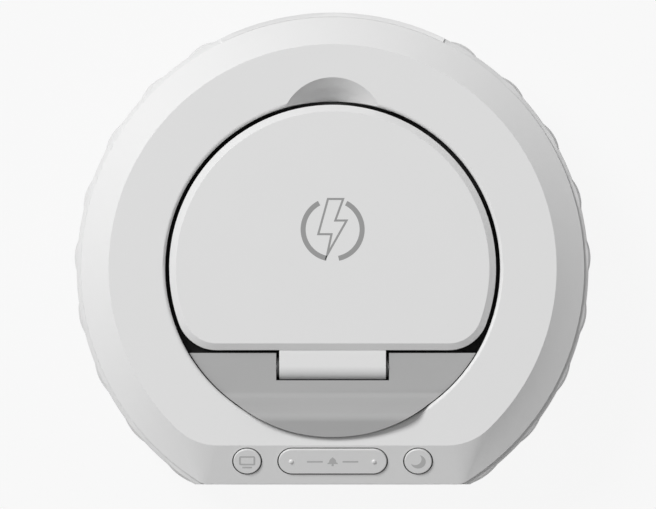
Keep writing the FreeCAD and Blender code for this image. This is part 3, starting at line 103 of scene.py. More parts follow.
def moulding():
    # spark-eroded mould skin: fine grain, faint cloudiness, handling marks in the gloss
    tree, given, wanted = newGroup(
        "mouldedSkin",
        [("Color", "NodeSocketColor", (0.8, 0.8, 0.8, 1)), ("Cloud", "NodeSocketFloat", 0.02),
         ("Gloss", "NodeSocketFloat", 0.45), ("Handling", "NodeSocketFloat", 0.08),
         ("Grain Scale", "NodeSocketFloat", 3800.0)], skinOutputs)
    place = addNode(tree, "ShaderNodeTexCoord").outputs["Object"]
    grain = addNode(tree, "ShaderNodeTexNoise", {"Vector": place, "Scale": given["Grain Scale"]},
                    Detail=3.0, Roughness=0.6)
    cloud = addNode(tree, "ShaderNodeTexNoise", {"Vector": place}, Scale=45.0, Detail=4.0,
                    Roughness=0.55)
    darker = mathNode(tree, "MULTIPLY", cloud.outputs["Fac"], given["Cloud"])
    shade = addNode(tree, "ShaderNodeHueSaturation", {"Color": given["Color"]})
    tree.links.new(mathNode(tree, "SUBTRACT", 1.0, darker), shade.inputs["Value"])
    smudge = addNode(tree, "ShaderNodeTexNoise", {"Vector": place}, Scale=120.0, Detail=5.0,
                     Roughness=0.7, Distortion=0.6)
    handled = mathNode(tree, "MULTIPLY_ADD", smudge.outputs["Fac"], given["Handling"],
                       given["Gloss"])
    tree.links.new(shade.outputs[0], wanted["Color"])
    tree.links.new(handled, wanted["Roughness"])
    tree.links.new(grain.outputs["Fac"], wanted["Height"])
    return tree


def brushing():
    # drawn or ground metal: streaks along one axis, dull patches
    tree, given, wanted = newGroup(
        "metalStreaks",
        [("Color", "NodeSocketColor", (0.6, 0.6, 0.6, 1)), ("Gloss", "NodeSocketFloat", 0.3),
         ("Stretch", "NodeSocketVector", (1.0, 12.0, 12.0)), ("Tarnish", "NodeSocketFloat", 0.25)],
        skinOutputs)
    place = addNode(tree, "ShaderNodeTexCoord").outputs["Object"]
    pulled = addNode(tree, "ShaderNodeVectorMath", {0: place, 1: given["Stretch"]},
                     operation="MULTIPLY")
    streak = addNode(tree, "ShaderNodeTexNoise", {"Vector": pulled.outputs[0]}, Scale=420.0,
                     Detail=4.0)
    patch = addNode(tree, "ShaderNodeTexNoise", {"Vector": place}, Scale=260.0, Detail=3.0)
    dull = mathNode(tree, "MULTIPLY", patch.outputs["Fac"], given["Tarnish"])
    shade = addNode(tree, "ShaderNodeHueSaturation", {"Color": given["Color"]})
    tree.links.new(mathNode(tree, "SUBTRACT", 1.0, dull), shade.inputs["Value"])
    tree.links.new(shade.outputs[0], wanted["Color"])
    streaked = mathNode(tree, "MULTIPLY_ADD", streak.outputs["Fac"], 0.18, given["Gloss"])
    tree.links.new(streaked, wanted["Roughness"])
    tree.links.new(streak.outputs["Fac"], wanted["Height"])
    return tree


def boardTracks():
    # solder mask over copper: straight tracks, tinned dots
    tree, given, wanted = newGroup(
        "boardTracks",
        [("Color", "NodeSocketColor", (0.02, 0.16, 0.06, 1)),
         ("Track", "NodeSocketColor", (0.06, 0.3, 0.12, 1)),
         ("Tin", "NodeSocketColor", (0.62, 0.62, 0.6, 1)),
         ("Turn", "NodeSocketVector", (0.0, 0.0, 0.0))], skinOutputs)
    place = addNode(tree, "ShaderNodeTexCoord").outputs["Object"]
    turned = addNode(tree, "ShaderNodeVectorRotate", {"Vector": place, "Rotation": given["Turn"]},
                     rotation_type="EULER_XYZ")
    bricks = addNode(tree, "ShaderNodeTexBrick", {"Vector": turned.outputs[0]}, Scale=1000.0,
                     Mortar_Size=0.16, Mortar_Smooth=0.3, Brick_Width=7.0, Row_Height=1.3,
                     Color1=(0, 0, 0, 1), Color2=(0, 0, 0, 1), Mortar=(1, 1, 1, 1))
    dots = addNode(tree, "ShaderNodeTexVoronoi", {"Vector": turned.outputs[0]}, Scale=330.0,
                   Randomness=0.7)
    tinned = mathNode(tree, "LESS_THAN", dots.outputs["Distance"], 0.17)
    tracked = mixColours(tree, bricks.outputs["Color"], given["Color"], given["Track"])
    tree.links.new(mixColours(tree, tinned, tracked, given["Tin"]), wanted["Color"])
    tree.links.new(mathNode(tree, "MULTIPLY_ADD", tinned, 0.1, 0.3), wanted["Roughness"])
    tree.links.new(mathNode(tree, "MAXIMUM", bricks.outputs["Color"], tinned), wanted["Height"])
    return tree


def beyondMask():
    # 1 past a distance: across the vertical axis, or straight up
    tree, given, wanted = newGroup(
        "beyond", [("Radius", "NodeSocketFloat", 1.0), ("Height", "NodeSocketFloat", 1.0)],
        [("Across", "NodeSocketFloat"), ("Above", "NodeSocketFloat")])
    place = addNode(tree, "ShaderNodeTexCoord").outputs["Object"]
    flat = addNode(tree, "ShaderNodeVectorMath", {0: place}, operation="MULTIPLY")
    flat.inputs[1].default_value = (1, 1, 0)
    reach = addNode(tree, "ShaderNodeVectorMath", {0: flat.outputs[0]}, operation="LENGTH")
    parts = addNode(tree, "ShaderNodeSeparateXYZ", {0: place})
    across = mathNode(tree, "GREATER_THAN", reach.outputs["Value"], given["Radius"])
    above = mathNode(tree, "GREATER_THAN", parts.outputs["Z"], given["Height"])
    tree.links.new(across, wanted["Across"])
    tree.links.new(above, wanted["Above"])
    return tree


skinGroup = moulding()
streakGroup = brushing()
trackGroup = boardTracks()
beyondGroup = beyondMask()


def newMaterial(name):
    material = bpy.data.materials.new(name)
    material.use_nodes = True
    tree = material.node_tree
    return material, tree, tree.nodes["Principled BSDF"]


def placeGroup(tree, group, **values):
    made = addNode(tree, "ShaderNodeGroup", node_tree=group)
    for key, value in values.items():
        made.inputs[key.replace("_", " ")].default_value = value
    return made.outputs


def setShader(shader, **values):
    for key, value in values.items():
        shader.inputs[key.replace("_", " ")].default_value = value


def joinSkin(tree, surface, skin, depth, colour=None, strength=0.5):
    # colour, gloss and relief of a group into the shader
    bump = addNode(tree, "ShaderNodeBump", {"Height": skin["Height"]}, Strength=strength,
                   Distance=depth * mm)
    tree.links.new(colour or skin["Color"], surface.inputs["Base Color"])
    tree.links.new(skin["Roughness"], surface.inputs["Roughness"])
    tree.links.new(bump.outputs[0], surface.inputs["Normal"])


def plastic(name, grey, gloss, cloud=0.02, handling=0.08, grain=3800.0, depth=0.012, **shader):
    # depth of the grain in millimetres
    material, tree, surface = newMaterial(name)
    skin = placeGroup(tree, skinGroup, Color=(grey, grey, grey, 1), Cloud=cloud, Gloss=gloss,
                      Handling=handling, Grain_Scale=grain)
    joinSkin(tree, surface, skin, depth)
    setShader(surface, **shader)
    return material


def metal(name, colour, gloss, stretch=(1, 12, 12), tarnish=0.25, depth=0.004):
    material, tree, surface = newMaterial(name)
    streaks = placeGroup(tree, streakGroup, Color=(*colour, 1), Gloss=gloss, Stretch=stretch,
                         Tarnish=tarnish)
    joinSkin(tree, surface, streaks, depth, strength=0.4)
    setShader(surface, Metallic=1.0)
    return material


def circuitBoard(name, turn=(0, 0, 0), chipsAbove=None):
    material, tree, surface = newMaterial(name)
    tracks = placeGroup(tree, trackGroup, Turn=turn)
    colour = tracks["Color"]
    if chipsAbove:
        masks = placeGroup(tree, beyondGroup, Height=chipsAbove * mm)
        colour = mixColours(tree, masks["Above"], colour, (0.012, 0.012, 0.013))
    joinSkin(tree, surface, tracks, 0.03, colour)
    return material


def lampStrip(name, lampsBeyond):
    # white board with yellow lamps standing on it
    material, tree, surface = newMaterial(name)
    skin = placeGroup(tree, skinGroup, Color=(0.78, 0.77, 0.74, 1), Cloud=0.05, Gloss=0.35)
    masks = placeGroup(tree, beyondGroup, Radius=lampsBeyond * mm)
    colour = mixColours(tree, masks["Across"], skin["Color"], (0.86, 0.70, 0.22))
    joinSkin(tree, surface, skin, 0.006, colour)
    return material


def smokedPane(name):
    # polished smoked window, see-through, wiped many times
    material, tree, surface = newMaterial(name)
    place = addNode(tree, "ShaderNodeTexCoord").outputs["Object"]
    wiped = addNode(tree, "ShaderNodeTexNoise", {"Vector": place}, Scale=90.0, Detail=4.0,
                    Distortion=0.8)
    dulled = mathNode(tree, "MULTIPLY_ADD", wiped.outputs["Fac"], 0.05, 0.02)
    tree.links.new(dulled, surface.inputs["Roughness"])
    setShader(surface, Base_Color=(0.34, 0.34, 0.36, 1), Transmission_Weight=1.0, IOR=1.49)
    return material


def glowing(name, colour, strength):
    # lit bar of a clock display, a little uneven
    material, tree, surface = newMaterial(name)
    place = addNode(tree, "ShaderNodeTexCoord").outputs["Object"]
    uneven = addNode(tree, "ShaderNodeTexNoise", {"Vector": place}, Scale=240.0, Detail=2.0)
    dimmer = tuple(part * 0.8 for part in colour)
    tree.links.new(mixColours(tree, uneven.outputs["Fac"], dimmer, colour),
                   surface.inputs["Emission Color"])
    setShader(surface, Base_Color=(*colour, 1), Emission_Strength=strength, Roughness=0.4)
    return material


finishes = {
    "caseWhite": plastic("caseWhite", 0.762, 0.44),
    "padWhite": plastic("padWhite", 0.762, 0.42, grain=4200.0),
    "buttonWhite": plastic("buttonWhite", 0.762, 0.36, grain=5000.0, depth=0.006),
    # near-black tray: painted shade, so the gap round the pad reads as a deep shadow
    "trayPaintedShade": plastic("trayPaintedShade", 0.008, 0.62, cloud=0.25, grain=2600.0, depth=0.02),
    "ledgeGrey": plastic("ledgeGrey", 0.405, 0.62, cloud=0.04, handling=0.12, grain=2400.0,
                         depth=0.02),
    "keyGrey": plastic("keyGrey", 0.40, 0.42, cloud=0.04),
    "keyMark": plastic("keyMark", 0.72, 0.4, cloud=0.04),
    "matRubber": plastic("matRubber", 0.045, 0.72, cloud=0.3, handling=0.15, grain=1600.0,
                         depth=0.05),
    "opal": plastic("opal", 0.72, 0.5, cloud=0.03, handling=0.1, grain=5200.0, depth=0.004,
                    Specular_IOR_Level=0.3, Subsurface_Weight=0.15, Subsurface_Scale=0.0008,
                    Subsurface_Radius=(1.0, 1.0, 1.0)),
    "inkGrey": plastic("inkGrey", 0.30, 0.5, cloud=0.05, grain=9000.0, depth=0.003),
    "inkPale": plastic("inkPale", 0.50, 0.5, cloud=0.05, grain=9000.0, depth=0.003),
    "innerBlack": plastic("innerBlack", 0.02, 0.55, cloud=0.2),
    "bushPlastic": plastic("bushPlastic", 0.03, 0.42, cloud=0.1),
    "unlitBar": plastic("unlitBar", 0.035, 0.5, cloud=0.1),
    "litBar": glowing("litBar", (0.92, 0.97, 1.0), 5.0),
    "smokedWindow": smokedPane("smokedWindow"),
    "coneBlack": plastic("coneBlack", 0.03, 0.8, cloud=0.4, grain=1500.0, depth=0.05),
    "plainBoard": circuitBoard("plainBoard"),
    "mainBoard": circuitBoard("mainBoard", chipsAbove=10.62),
    "slopingBoard": circuitBoard("slopingBoard", turn=(math.radians(27.8), 0, 0)),
    "uprightBoard": circuitBoard("uprightBoard", turn=(math.radians(90), 0, 0)),
    "ferrite": plastic("ferrite", 0.07, 0.5, cloud=0.3, grain=2200.0, depth=0.02),
    "lampBoard": lampStrip("lampBoard", 67.45),
    "steel": metal("steel", (0.60, 0.60, 0.61), 0.2),
    "gilt": metal("gilt", (0.83, 0.62, 0.28), 0.2),
    "ballast": metal("ballast", (0.36, 0.36, 0.37), 0.4, stretch=(6, 1, 6), tarnish=0.5),
    "copper": metal("copper", (0.72, 0.36, 0.18), 0.25, stretch=(8, 8, 1)),
}
print("finishes made:", len(finishes))


# tools for pieces

def taken(node, flat=0.4):
    # a merged copy of one solid's mesh, its flat facets joined
    bm = bmesh.new()
    bm.from_mesh(nodes[node].data)
    bmesh.ops.remove_doubles(bm, verts=bm.verts, dist=2 * same)
    bmesh.ops.dissolve_limit(bm, angle_limit=math.radians(flat), verts=bm.verts, edges=bm.edges)
    return bm


def soften(bm, radius, segments=2, sharper=28, choose=None):
    # small roundings on the edges that turn more sharply than an angle
    picked = [edge for edge in bm.edges if len(edge.link_faces) == 2
              and edge.calc_face_angle(0) > math.radians(sharper)
              and (choose is None or choose(edge))]
    bmesh.ops.bevel(bm, geom=picked, offset=radius * mm, offset_type="OFFSET", segments=segments,
                    profile=0.5, affect="EDGES", clamp_overlap=True, material=-1)
    return bm


def finishPiece(name, bm, finish, body, stands=(), smooth=32):
    mesh = bpy.data.meshes.new(name)
    bm.to_mesh(mesh)
    bm.free()
    piece = bpy.data.objects.new(name, mesh)
    bpy.context.scene.collection.objects.link(piece)
    mesh.materials.append(finishes[finish])
    mesh.shade_smooth()
    mesh.set_sharp_from_angle(angle=math.radians(smooth))
    weighted = piece.modifiers.new("facesFlat", "WEIGHTED_NORMAL")
    weighted.keep_sharp = True
    weighted.weight = 100
    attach(piece, body)
    if stands:
        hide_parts(*stands)


def middleOf(edge):
    return (edge.verts[0].co + edge.verts[1].co) / 2


def outline(points):
    # one flat face through a few points, in millimetres
    bm = bmesh.new()
    bm.faces.new([bm.verts.new((x * mm, y * mm, 0)) for x, y in points])
    bm.normal_update()
    return bm


def hollowed(bm, width):
    # keep only a line of one width along the rim of each face
    middles = list(bm.faces)
    bmesh.ops.inset_individual(bm, faces=middles, thickness=width * mm, use_even_offset=True)
    bmesh.ops.delete(bm, geom=middles, context="FACES")
    return bm


def roundCorners(bm, radius, segments=4):
    bmesh.ops.bevel(bm, geom=list(bm.verts), offset=radius * mm, offset_type="OFFSET",
                    segments=segments, profile=0.5, affect="VERTICES", material=-1)
    return bm


def thicken(bm, height):
    lifted = bmesh.ops.extrude_face_region(bm, geom=list(bm.faces))["geom"]
    upper = [item for item in lifted if isinstance(item, bmesh.types.BMVert)]
    bmesh.ops.translate(bm, vec=(0, 0, height * mm), verts=upper)
    bmesh.ops.recalc_face_normals(bm, faces=bm.faces)
    return bm


def joined(*shapes):
    # several flat shapes in one mesh, each moved by its own offset in millimetres
    whole = bmesh.new()
    for bm, (x, y) in shapes:
        bmesh.ops.translate(bm, vec=(x * mm, y * mm, 0), verts=bm.verts)
        spare = bpy.data.meshes.new("spare")
        bm.to_mesh(spare)
        bm.free()
        whole.from_mesh(spare)
        bpy.data.meshes.remove(spare)
    return whole


def bar(width, height):
    side, end = width / 2, height / 2
    return outline([(-side, -end), (side, -end), (side, end), (-side, end)])


def arcPoints(radius, start, end, count, centre=(0, 0)):
    turns = [math.radians(start + (end - start) * index / count) for index in range(count + 1)]
    return [(centre[0] + radius * math.cos(turn), centre[1] + radius * math.sin(turn))
            for turn in turns]


def disc(radius, count=24):
    return outline(arcPoints(radius, 0, 360 - 360 / count, count - 1))


def arcBand(inner, outer, start, end, count):
    return outline(arcPoints(outer, start, end, count) + arcPoints(inner, end, start, count))


def printed(name, bm, place, finish, body, height=0.05, sunk=0.02):
    # a thin print or mark: partly in the surface, its face just proud of it
    lowered = place @ Matrix.Translation((0, 0, -sunk * mm))
    bmesh.ops.transform(bm, matrix=lowered, verts=thicken(bm, height).verts)
    finishPiece(name, bm, finish, body)


# case

shell = {"edge": 0.25, "steps": 3, "sharper": 20, "smooth": 18, "outside": 61.5, "rimFoot": 39.3,
         "rimTop": 42.4, "faceTop": 47.99, "nearEdge": -50.5}


def outerEdge(edge):
    # outlines of the face and the rim, not the holes of the strip
    middle = middleOf(edge)
    onFace = middle.z > shell["faceTop"] * mm
    onRim = shell["rimFoot"] * mm < middle.z < shell["rimTop"] * mm
    return (onFace and middle.y < shell["nearEdge"] * mm
            or (onFace or onRim) and middle.to_2d().length > shell["outside"] * mm)


topShell = taken("top_shell")
soften(topShell, shell["edge"], shell["steps"], shell["sharper"], choose=outerEdge)
finishPiece("topShell", topShell, "caseWhite", "case", ["top_shell"],
            smooth=shell["smooth"])

# the rear panel's lip carries on the slope of the bevel

lip = {"above": 41.5, "wall": 73.72, "middle": 74.4, "slope": 0.7195, "rimRadius": 73.7,
       "rimHeight": 42.1, "edge": 0.2, "sharper": 40}
rearPanel = taken("rear_panel")
for vert in rearPanel.verts:
    if vert.co.z > lip["above"] * mm:
        flat = vert.co.to_2d()
        if flat.length < lip["middle"] * mm:
            vert.co.xy = flat.normalized() * lip["wall"] * mm
        outward = vert.co.to_2d().length - lip["rimRadius"] * mm
        vert.co.z = lip["rimHeight"] * mm - lip["slope"] * outward
finishPiece("rearPanel", soften(rearPanel, lip["edge"], sharper=lip["sharper"]), "caseWhite",
            "case", ["rear_panel"])

# the pad tray takes the near-black finish, painted shade for the gap round the pad
for node, name, finish, slotName, radius in (
        ("lower_housing", "lowerHousing", "caseWhite", "case_white", 0.3),
        ("front_panel", "frontPanel", "caseWhite", "case_white", 0.2),
        ("pad_tray", "padTray", "trayPaintedShade", "tray_dark", 0.2)):
    finishPiece(name, soften(taken(node), radius), finish, "case", [node])

# phone ledge: a hollow foot to its slope, and a lip that reaches over the face

ledge = {"brim": (48.04, 48.1), "edge": 0.25, "sharper": 40, "footRound": 1.4, "footSteps": 5,
         "footReach": -37.4, "footHeight": 45.3, "near": 0.02, "rimWidth": 0.05, "overhang": 0.75,
         "overhangFrom": -39.9, "overhangFull": -47.5}


def ledgeFoot(edge):
    # the hollow corner where the flat meets the slope
    return all(abs(vert.co.y - ledge["footReach"] * mm) < ledge["near"] * mm
               and abs(vert.co.z - ledge["footHeight"] * mm) < ledge["near"] * mm
               for vert in edge.verts)


def overhangAt(y):
    # how far the lip has grown at a place in front of the hinge, from 0 to 1
    grown = (ledge["overhangFrom"] - y / mm) / (ledge["overhangFrom"] - ledge["overhangFull"])
    return min(max(grown, 0), 1)


phoneLedge = taken("phone_ledge")
for height in ledge["brim"]:
    parts = list(phoneLedge.verts) + list(phoneLedge.edges) + list(phoneLedge.faces)
    bmesh.ops.bisect_plane(phoneLedge, geom=parts, plane_co=(0, 0, height * mm), plane_no=(0, 0, 1))
reach = max(vert.co.to_2d().length for vert in phoneLedge.verts)
for vert in phoneLedge.verts:
    onWall = vert.co.to_2d().length > reach - ledge["rimWidth"] * mm
    if onWall and vert.co.z > ledge["brim"][0] * mm + same:
        vert.co.xy *= 1 + overhangAt(vert.co.y) * ledge["overhang"] * mm / reach
soften(phoneLedge, ledge["footRound"], ledge["footSteps"], choose=ledgeFoot)
soften(phoneLedge, ledge["edge"], sharper=ledge["sharper"])
finishPiece("phoneLedge", phoneLedge, "ledgeGrey", "case", ["phone_ledge"])

for node, name, radius in (("pad_top_cover", "padTopCover", 0.25),
                           ("pad_bottom_cover", "padBottomCover", 0.2)):
    finishPiece(name, soften(taken(node), radius), "padWhite", "flip_pad", [node])

# three caps on the strip, with a thin black ring round each that is painted shade for the gap round
# it

strip = {"drop": 5.9, "run": 11.2, "reach": -56.3, "height": 45.682, "rise": 0.7, "side": 25.0}
cap = {"edge": 0.08, "below": 45.5}
# black rings of painted shade round the caps: their top stands 0.02 mm proud of the strip, shifted
# down the slope where the cap hides the gap
gapShade = {"inner": 4.02, "outer": 4.4, "shift": -0.17, "straight": 11.8, "foot": -0.98, "thick": 1.0,
        "steps": 32}
for node, name in (("display_button", "displayButton"), ("snooze_button", "longButton"),
                   ("night_light_button", "nightLightButton")):
    shape = soften(taken(node), cap["edge"],
                   choose=lambda edge: middleOf(edge).z < cap["below"] * mm)
    finishPiece(name, shape, "buttonWhite", node, [node])


def slotRing(straight):
    # flat ring round a slot with round ends, its outline a little lower than the slot
    bm = bmesh.new()
    loops = []
    for radius, middle in ((gapShade["inner"], 0), (gapShade["outer"], gapShade["shift"])):
        points = (arcPoints(radius, -90, 90, gapShade["steps"], (straight, middle))
                  + arcPoints(radius, 90, 270, gapShade["steps"], (-straight, middle)))
        loops.append([bm.verts.new((x * mm, y * mm, 0)) for x, y in points])
    near, far = loops
    for index, corner in enumerate(near):
        bm.faces.new((corner, near[index - 1], far[index - 1], far[index]))
    bmesh.ops.remove_doubles(bm, verts=bm.verts, dist=same)
    bm.normal_update()
    return bm


def onStrip(x, lift):
    foot = Matrix.Translation((x * mm, strip["reach"] * mm, strip["height"] * mm))
    slope = Matrix.Rotation(math.atan2(strip["drop"], strip["run"]), 4, "X")
    return foot @ slope @ Matrix.Translation((0, 0, lift * mm))


# one painted-shade ring per cap, laid over the gap and the strip just round it
gapShades = [(slotRing(straight), (x, 0))
         for straight, x in ((0, -strip["side"]), (gapShade["straight"], 0), (0, strip["side"]))]
printed("buttonGapShades", joined(*gapShades), onStrip(0, gapShade["foot"]), "innerBlack", "case",
        height=gapShade["thick"], sunk=0)
print("case and pad made")

# base mat with ring grooves

mat = {"rings": 6, "radius": 65.0, "land": 6.5, "slope": 0.2, "groove": 1.1, "depth": 0.55}
baseMat = taken("base_mat")
under = min(baseMat.faces, key=lambda face: face.calc_center_median().z)
reach = mat["radius"]
for ring in range(mat["rings"]):
    for width, sink in ((mat["land"], 0), (mat["slope"], mat["depth"]), (mat["groove"], 0),
                        (mat["slope"], -mat["depth"])):
        bmesh.ops.inset_individual(baseMat, faces=[under], thickness=0, depth=0)
        shrink = (reach - width) / reach
        bmesh.ops.scale(baseMat, vec=(shrink, shrink, 1), verts=under.verts)
        bmesh.ops.translate(baseMat, vec=(0, 0, sink * mm), verts=under.verts)
        reach -= width
finishPiece("baseMat", baseMat, "matRubber", "case", ["base_mat"])

# light bands: lobed and finely reeded, with a chamfered lip beside the rim

band = {"radius": 75.0, "wall": 2.4, "low": 10.5, "high": 39.5, "front": -61.3, "rear": 64.0,
        "lobeFirst": -53.3, "lobePitch": 14.05, "lobeCount": 9, "lobeAngle": 6.8, "frontRise": 0.48,
        "riseStep": 0.058, "ribPitch": 0.55, "ribDepth": 0.14, "stepsPerRib": 6, "edge": 0.3,
        "chord": -63.1, "lipInner": 73.72, "lipTop": 41.35, "lipOuter": 74.6, "outerTop": 40.9,
        "near": 0.05, "droop": 3.0, "topShare": 0.55, "smooth": 25}


def bandRadiusAt(angle):
    # outer radius at an angle in degrees, counted from the right side
    rise = 0.0
    for index in range(band["lobeCount"]):
        away = (angle - band["lobeFirst"] - index * band["lobePitch"]) / (band["lobeAngle"] / 2)
        rise = max(rise, (band["frontRise"] + index * band["riseStep"]) * (1 - away * away))
    pitch = math.degrees(band["ribPitch"] / band["radius"])
    rib = abs(math.sin(math.pi * angle / pitch))
    return band["radius"] + rise - band["ribDepth"] * (1 - rib)


def lightBand(side):
    bm = bmesh.new()
    start, sweep = math.radians(band["front"]), math.radians(band["rear"] - band["front"])
    inner, low, high = band["radius"] - band["wall"], band["low"], band["high"]
    section = [bm.verts.new((radius * mm, 0, height * mm)) for radius, height in (
        (inner, low), (band["radius"], low), (band["radius"], band["outerTop"] - band["edge"]),
        (band["lipOuter"], band["outerTop"]), (band["lipInner"], band["lipTop"]),
        (band["lipInner"], high), (inner, high))]
    bm.faces.new(section)
    bmesh.ops.bevel(bm, geom=section[1:3], offset=band["edge"] / 2 * mm, offset_type="OFFSET",
                    segments=3, profile=0.5, affect="VERTICES", material=-1)
    bmesh.ops.rotate(bm, verts=bm.verts, cent=(0, 0, 0), matrix=Matrix.Rotation(start, 3, "Z"))
    steps = round(band["radius"] * sweep / band["ribPitch"] * band["stepsPerRib"])
    bmesh.ops.delete(bm, geom=list(bm.faces), context="FACES_ONLY")
    bmesh.ops.spin(bm, geom=list(bm.edges) + list(bm.verts), cent=(0, 0, 0), axis=(0, 0, 1),
                   angle=sweep, steps=steps, use_merge=False)
    for vert in bm.verts:
        flat = vert.co.to_2d()
        if flat.length < (band["lipOuter"] - band["near"]) * mm:
            continue
        growth = bandRadiusAt(math.degrees(math.atan2(flat.y, flat.x))) - band["radius"]
        outermost = flat.length > (band["lipOuter"] + band["near"]) * mm
        share = 1 if outermost else band["topShare"]
        vert.co.x, vert.co.y = flat.normalized() * (flat.length + growth * share * mm)
        if outermost and vert.co.z > high * mm:
            vert.co.z -= max(growth, 0) * band["droop"] * mm
    everything = list(bm.verts) + list(bm.edges) + list(bm.faces)
    bmesh.ops.bisect_plane(bm, geom=everything, plane_co=(0, band["chord"] * mm, 0),
                           plane_no=(0, -1, 0), clear_outer=True)
    bmesh.ops.holes_fill(bm, edges=[edge for edge in bm.edges if edge.is_boundary], sides=0)
    if side < 0:
        bmesh.ops.scale(bm, vec=(-1, 1, 1), verts=bm.verts)
    bmesh.ops.recalc_face_normals(bm, faces=bm.faces)
    return bm


for side, name, node in ((1, "lightBandRight", "light_band_right"),
                         (-1, "lightBandLeft", "light_band_left")):
    finishPiece(name, lightBand(side), "opal", "case", [node], smooth=band["smooth"])
print("light bands made")

# charging symbol printed on the pad

padPrint = {"reach": 11.3, "face": 48.0, "outer": 9.36, "inner": 7.9, "topGap": 3.95,
            "footGap": 1.75, "line": 0.6, "steps": 40,
            "bolt": [(-4.6, -1.7), (-0.7, -1.7), (-2.3, -9.3), (4.6, 2.9), (1.2, 2.9), (3.5, 9.2),
                     (-1.6, 9.2)]}
middleRadius = (padPrint["outer"] + padPrint["inner"]) / 2
topTurn = math.degrees(math.acos(padPrint["topGap"] / middleRadius))
footTurn = math.degrees(math.acos(padPrint["footGap"] / middleRadius))
chargeParts = [
    (arcBand(padPrint["inner"], padPrint["outer"], start, end, padPrint["steps"]), (0, 0))
    for start, end in ((-footTurn, topTurn), (180 - topTurn, 180 + footTurn))]
chargeParts.append((hollowed(outline(padPrint["bolt"]), padPrint["line"]), (0, 0)))
printed("chargeMark", joined(*chargeParts),
        Matrix.Translation((0, padPrint["reach"] * mm, padPrint["face"] * mm)),
        "inkGrey", "flip_pad")

# marks on the three buttons

mark = {"line": 0.5, "screen": (4.7, 3.0), "corner": 0.5, "screenLift": 0.35, "foot": 2.8,
        "footDrop": -1.9, "moonOuter": (2.2, 198.0, 438.8, 36),
        "moonInner": (1.9, 405.7, 231.1, 30), "moonShift": (-0.9, 0.8), "dash": 4.6,
        "dashAt": 5.2, "clapper": 0.36, "clapperDrop": -1.1}
screen = hollowed(roundCorners(bar(*mark["screen"]), mark["corner"]), mark["line"])
screenMark = joined((screen, (0, mark["screenLift"])),
                    (bar(mark["foot"], mark["line"]), (0, mark["footDrop"])))
printed("displayMark", screenMark, onStrip(-strip["side"], strip["rise"]), "inkPale",
        "display_button")
crescent = outline(arcPoints(*mark["moonOuter"]) + arcPoints(*mark["moonInner"], mark["moonShift"]))
printed("nightMark", crescent, onStrip(strip["side"], strip["rise"]), "inkPale",
        "night_light_button")
bellSide = [(1.5, -0.75), (1.5, -0.5), (1.05, -0.2), (0.95, 0.45), (0.6, 1.0), (0.22, 1.2),
            (0.22, 1.4)]
bell = outline(bellSide + [(-x, y) for x, y in reversed(bellSide)])
bellMark = joined(
    (bell, (0, 0)), (disc(mark["clapper"], 16), (0, mark["clapperDrop"])),
    *((bar(mark["dash"], mark["line"]), (x, 0)) for x in (-mark["dashAt"], mark["dashAt"])))
printed("bellMark", bellMark, onStrip(0, strip["rise"]), "inkPale", "snooze_button")
print("prints made")

# clock display: smoked window, lit and unlit bars of four digits

display = {"middle": 24.6, "face": -59.5, "paneFrom": -59.6, "paneBack": -60.1, "paneEdge": 0.2,
           "digitWide": 8.0, "digitTall": 14.0, "stroke": 1.5, "barGap": 0.35, "lean": 0.12,
           "places": (-20.5, -9.2, 4.8, 16.1), "shows": ("off", "7", "3", "0"), "colonAt": -2.2,
           "colonRise": 2.8, "colonRadius": 0.95, "litThick": 0.2, "unlitThick": 0.12}
barsLit = {"off": "", "0": "abcdef", "3": "abcdg", "7": "abc"}


def digitBars(lit):
    # the bars of one digit that are lit, or those that are not
    half, tall, stroke = display["digitWide"] / 2, display["digitTall"] / 2, display["stroke"]
    spots = {"a": (0, tall, 0), "b": (half, tall / 2, 1), "c": (half, -tall / 2, 1),
             "d": (0, -tall, 0), "e": (-half, -tall / 2, 1), "f": (-half, tall / 2, 1),
             "g": (0, 0, 0)}
    return [(hexagon((tall if upright else 2 * half) - display["barGap"], stroke, upright), (x, y))
            for key, (x, y, upright) in spots.items() if key in lit]


def hexagon(long, wide, upright):
    end, side = long / 2, wide / 2
    points = [(-end, 0), (side - end, -side), (end - side, -side), (end, 0), (end - side, side),
              (side - end, side)]
    return outline([(-y, x) for x, y in points] if upright else points)


displayWindow = taken("display_window")
for vert in displayWindow.verts:
    if vert.co.y > display["paneFrom"] * mm:
        vert.co.y = display["paneBack"] * mm
finishPiece("displayWindow", soften(displayWindow, display["paneEdge"]), "smokedWindow", "case",
            ["display_window"])
lit, unlit = [], []
for place, shown in zip(display["places"], display["shows"]):
    for chosen, wanted in ((lit, barsLit[shown]), (unlit, set("abcdefg") - set(barsLit[shown]))):
        chosen += [(shape, (x + place, y)) for shape, (x, y) in digitBars(wanted)]
lit += [(disc(display["colonRadius"], 20), (display["colonAt"], y))
        for y in (-display["colonRise"], display["colonRise"])]
quarterTurn = Matrix.Rotation(math.pi / 2, 4, "X")
front = Matrix.Translation((0, display["face"] * mm, display["middle"] * mm)) @ quarterTurn
lean = Matrix(((1, display["lean"], 0, 0), (0, 1, 0, 0), (0, 0, 1, 0), (0, 0, 0, 1)))
printed("litBars", joined(*lit), front @ lean, "litBar", "case", height=display["litThick"])
printed("unlitBars", joined(*unlit), front @ lean, "unlitBar", "case", height=display["unlitThick"])
print("display made")

# rear bay: keys with marks, socket contacts, speaker

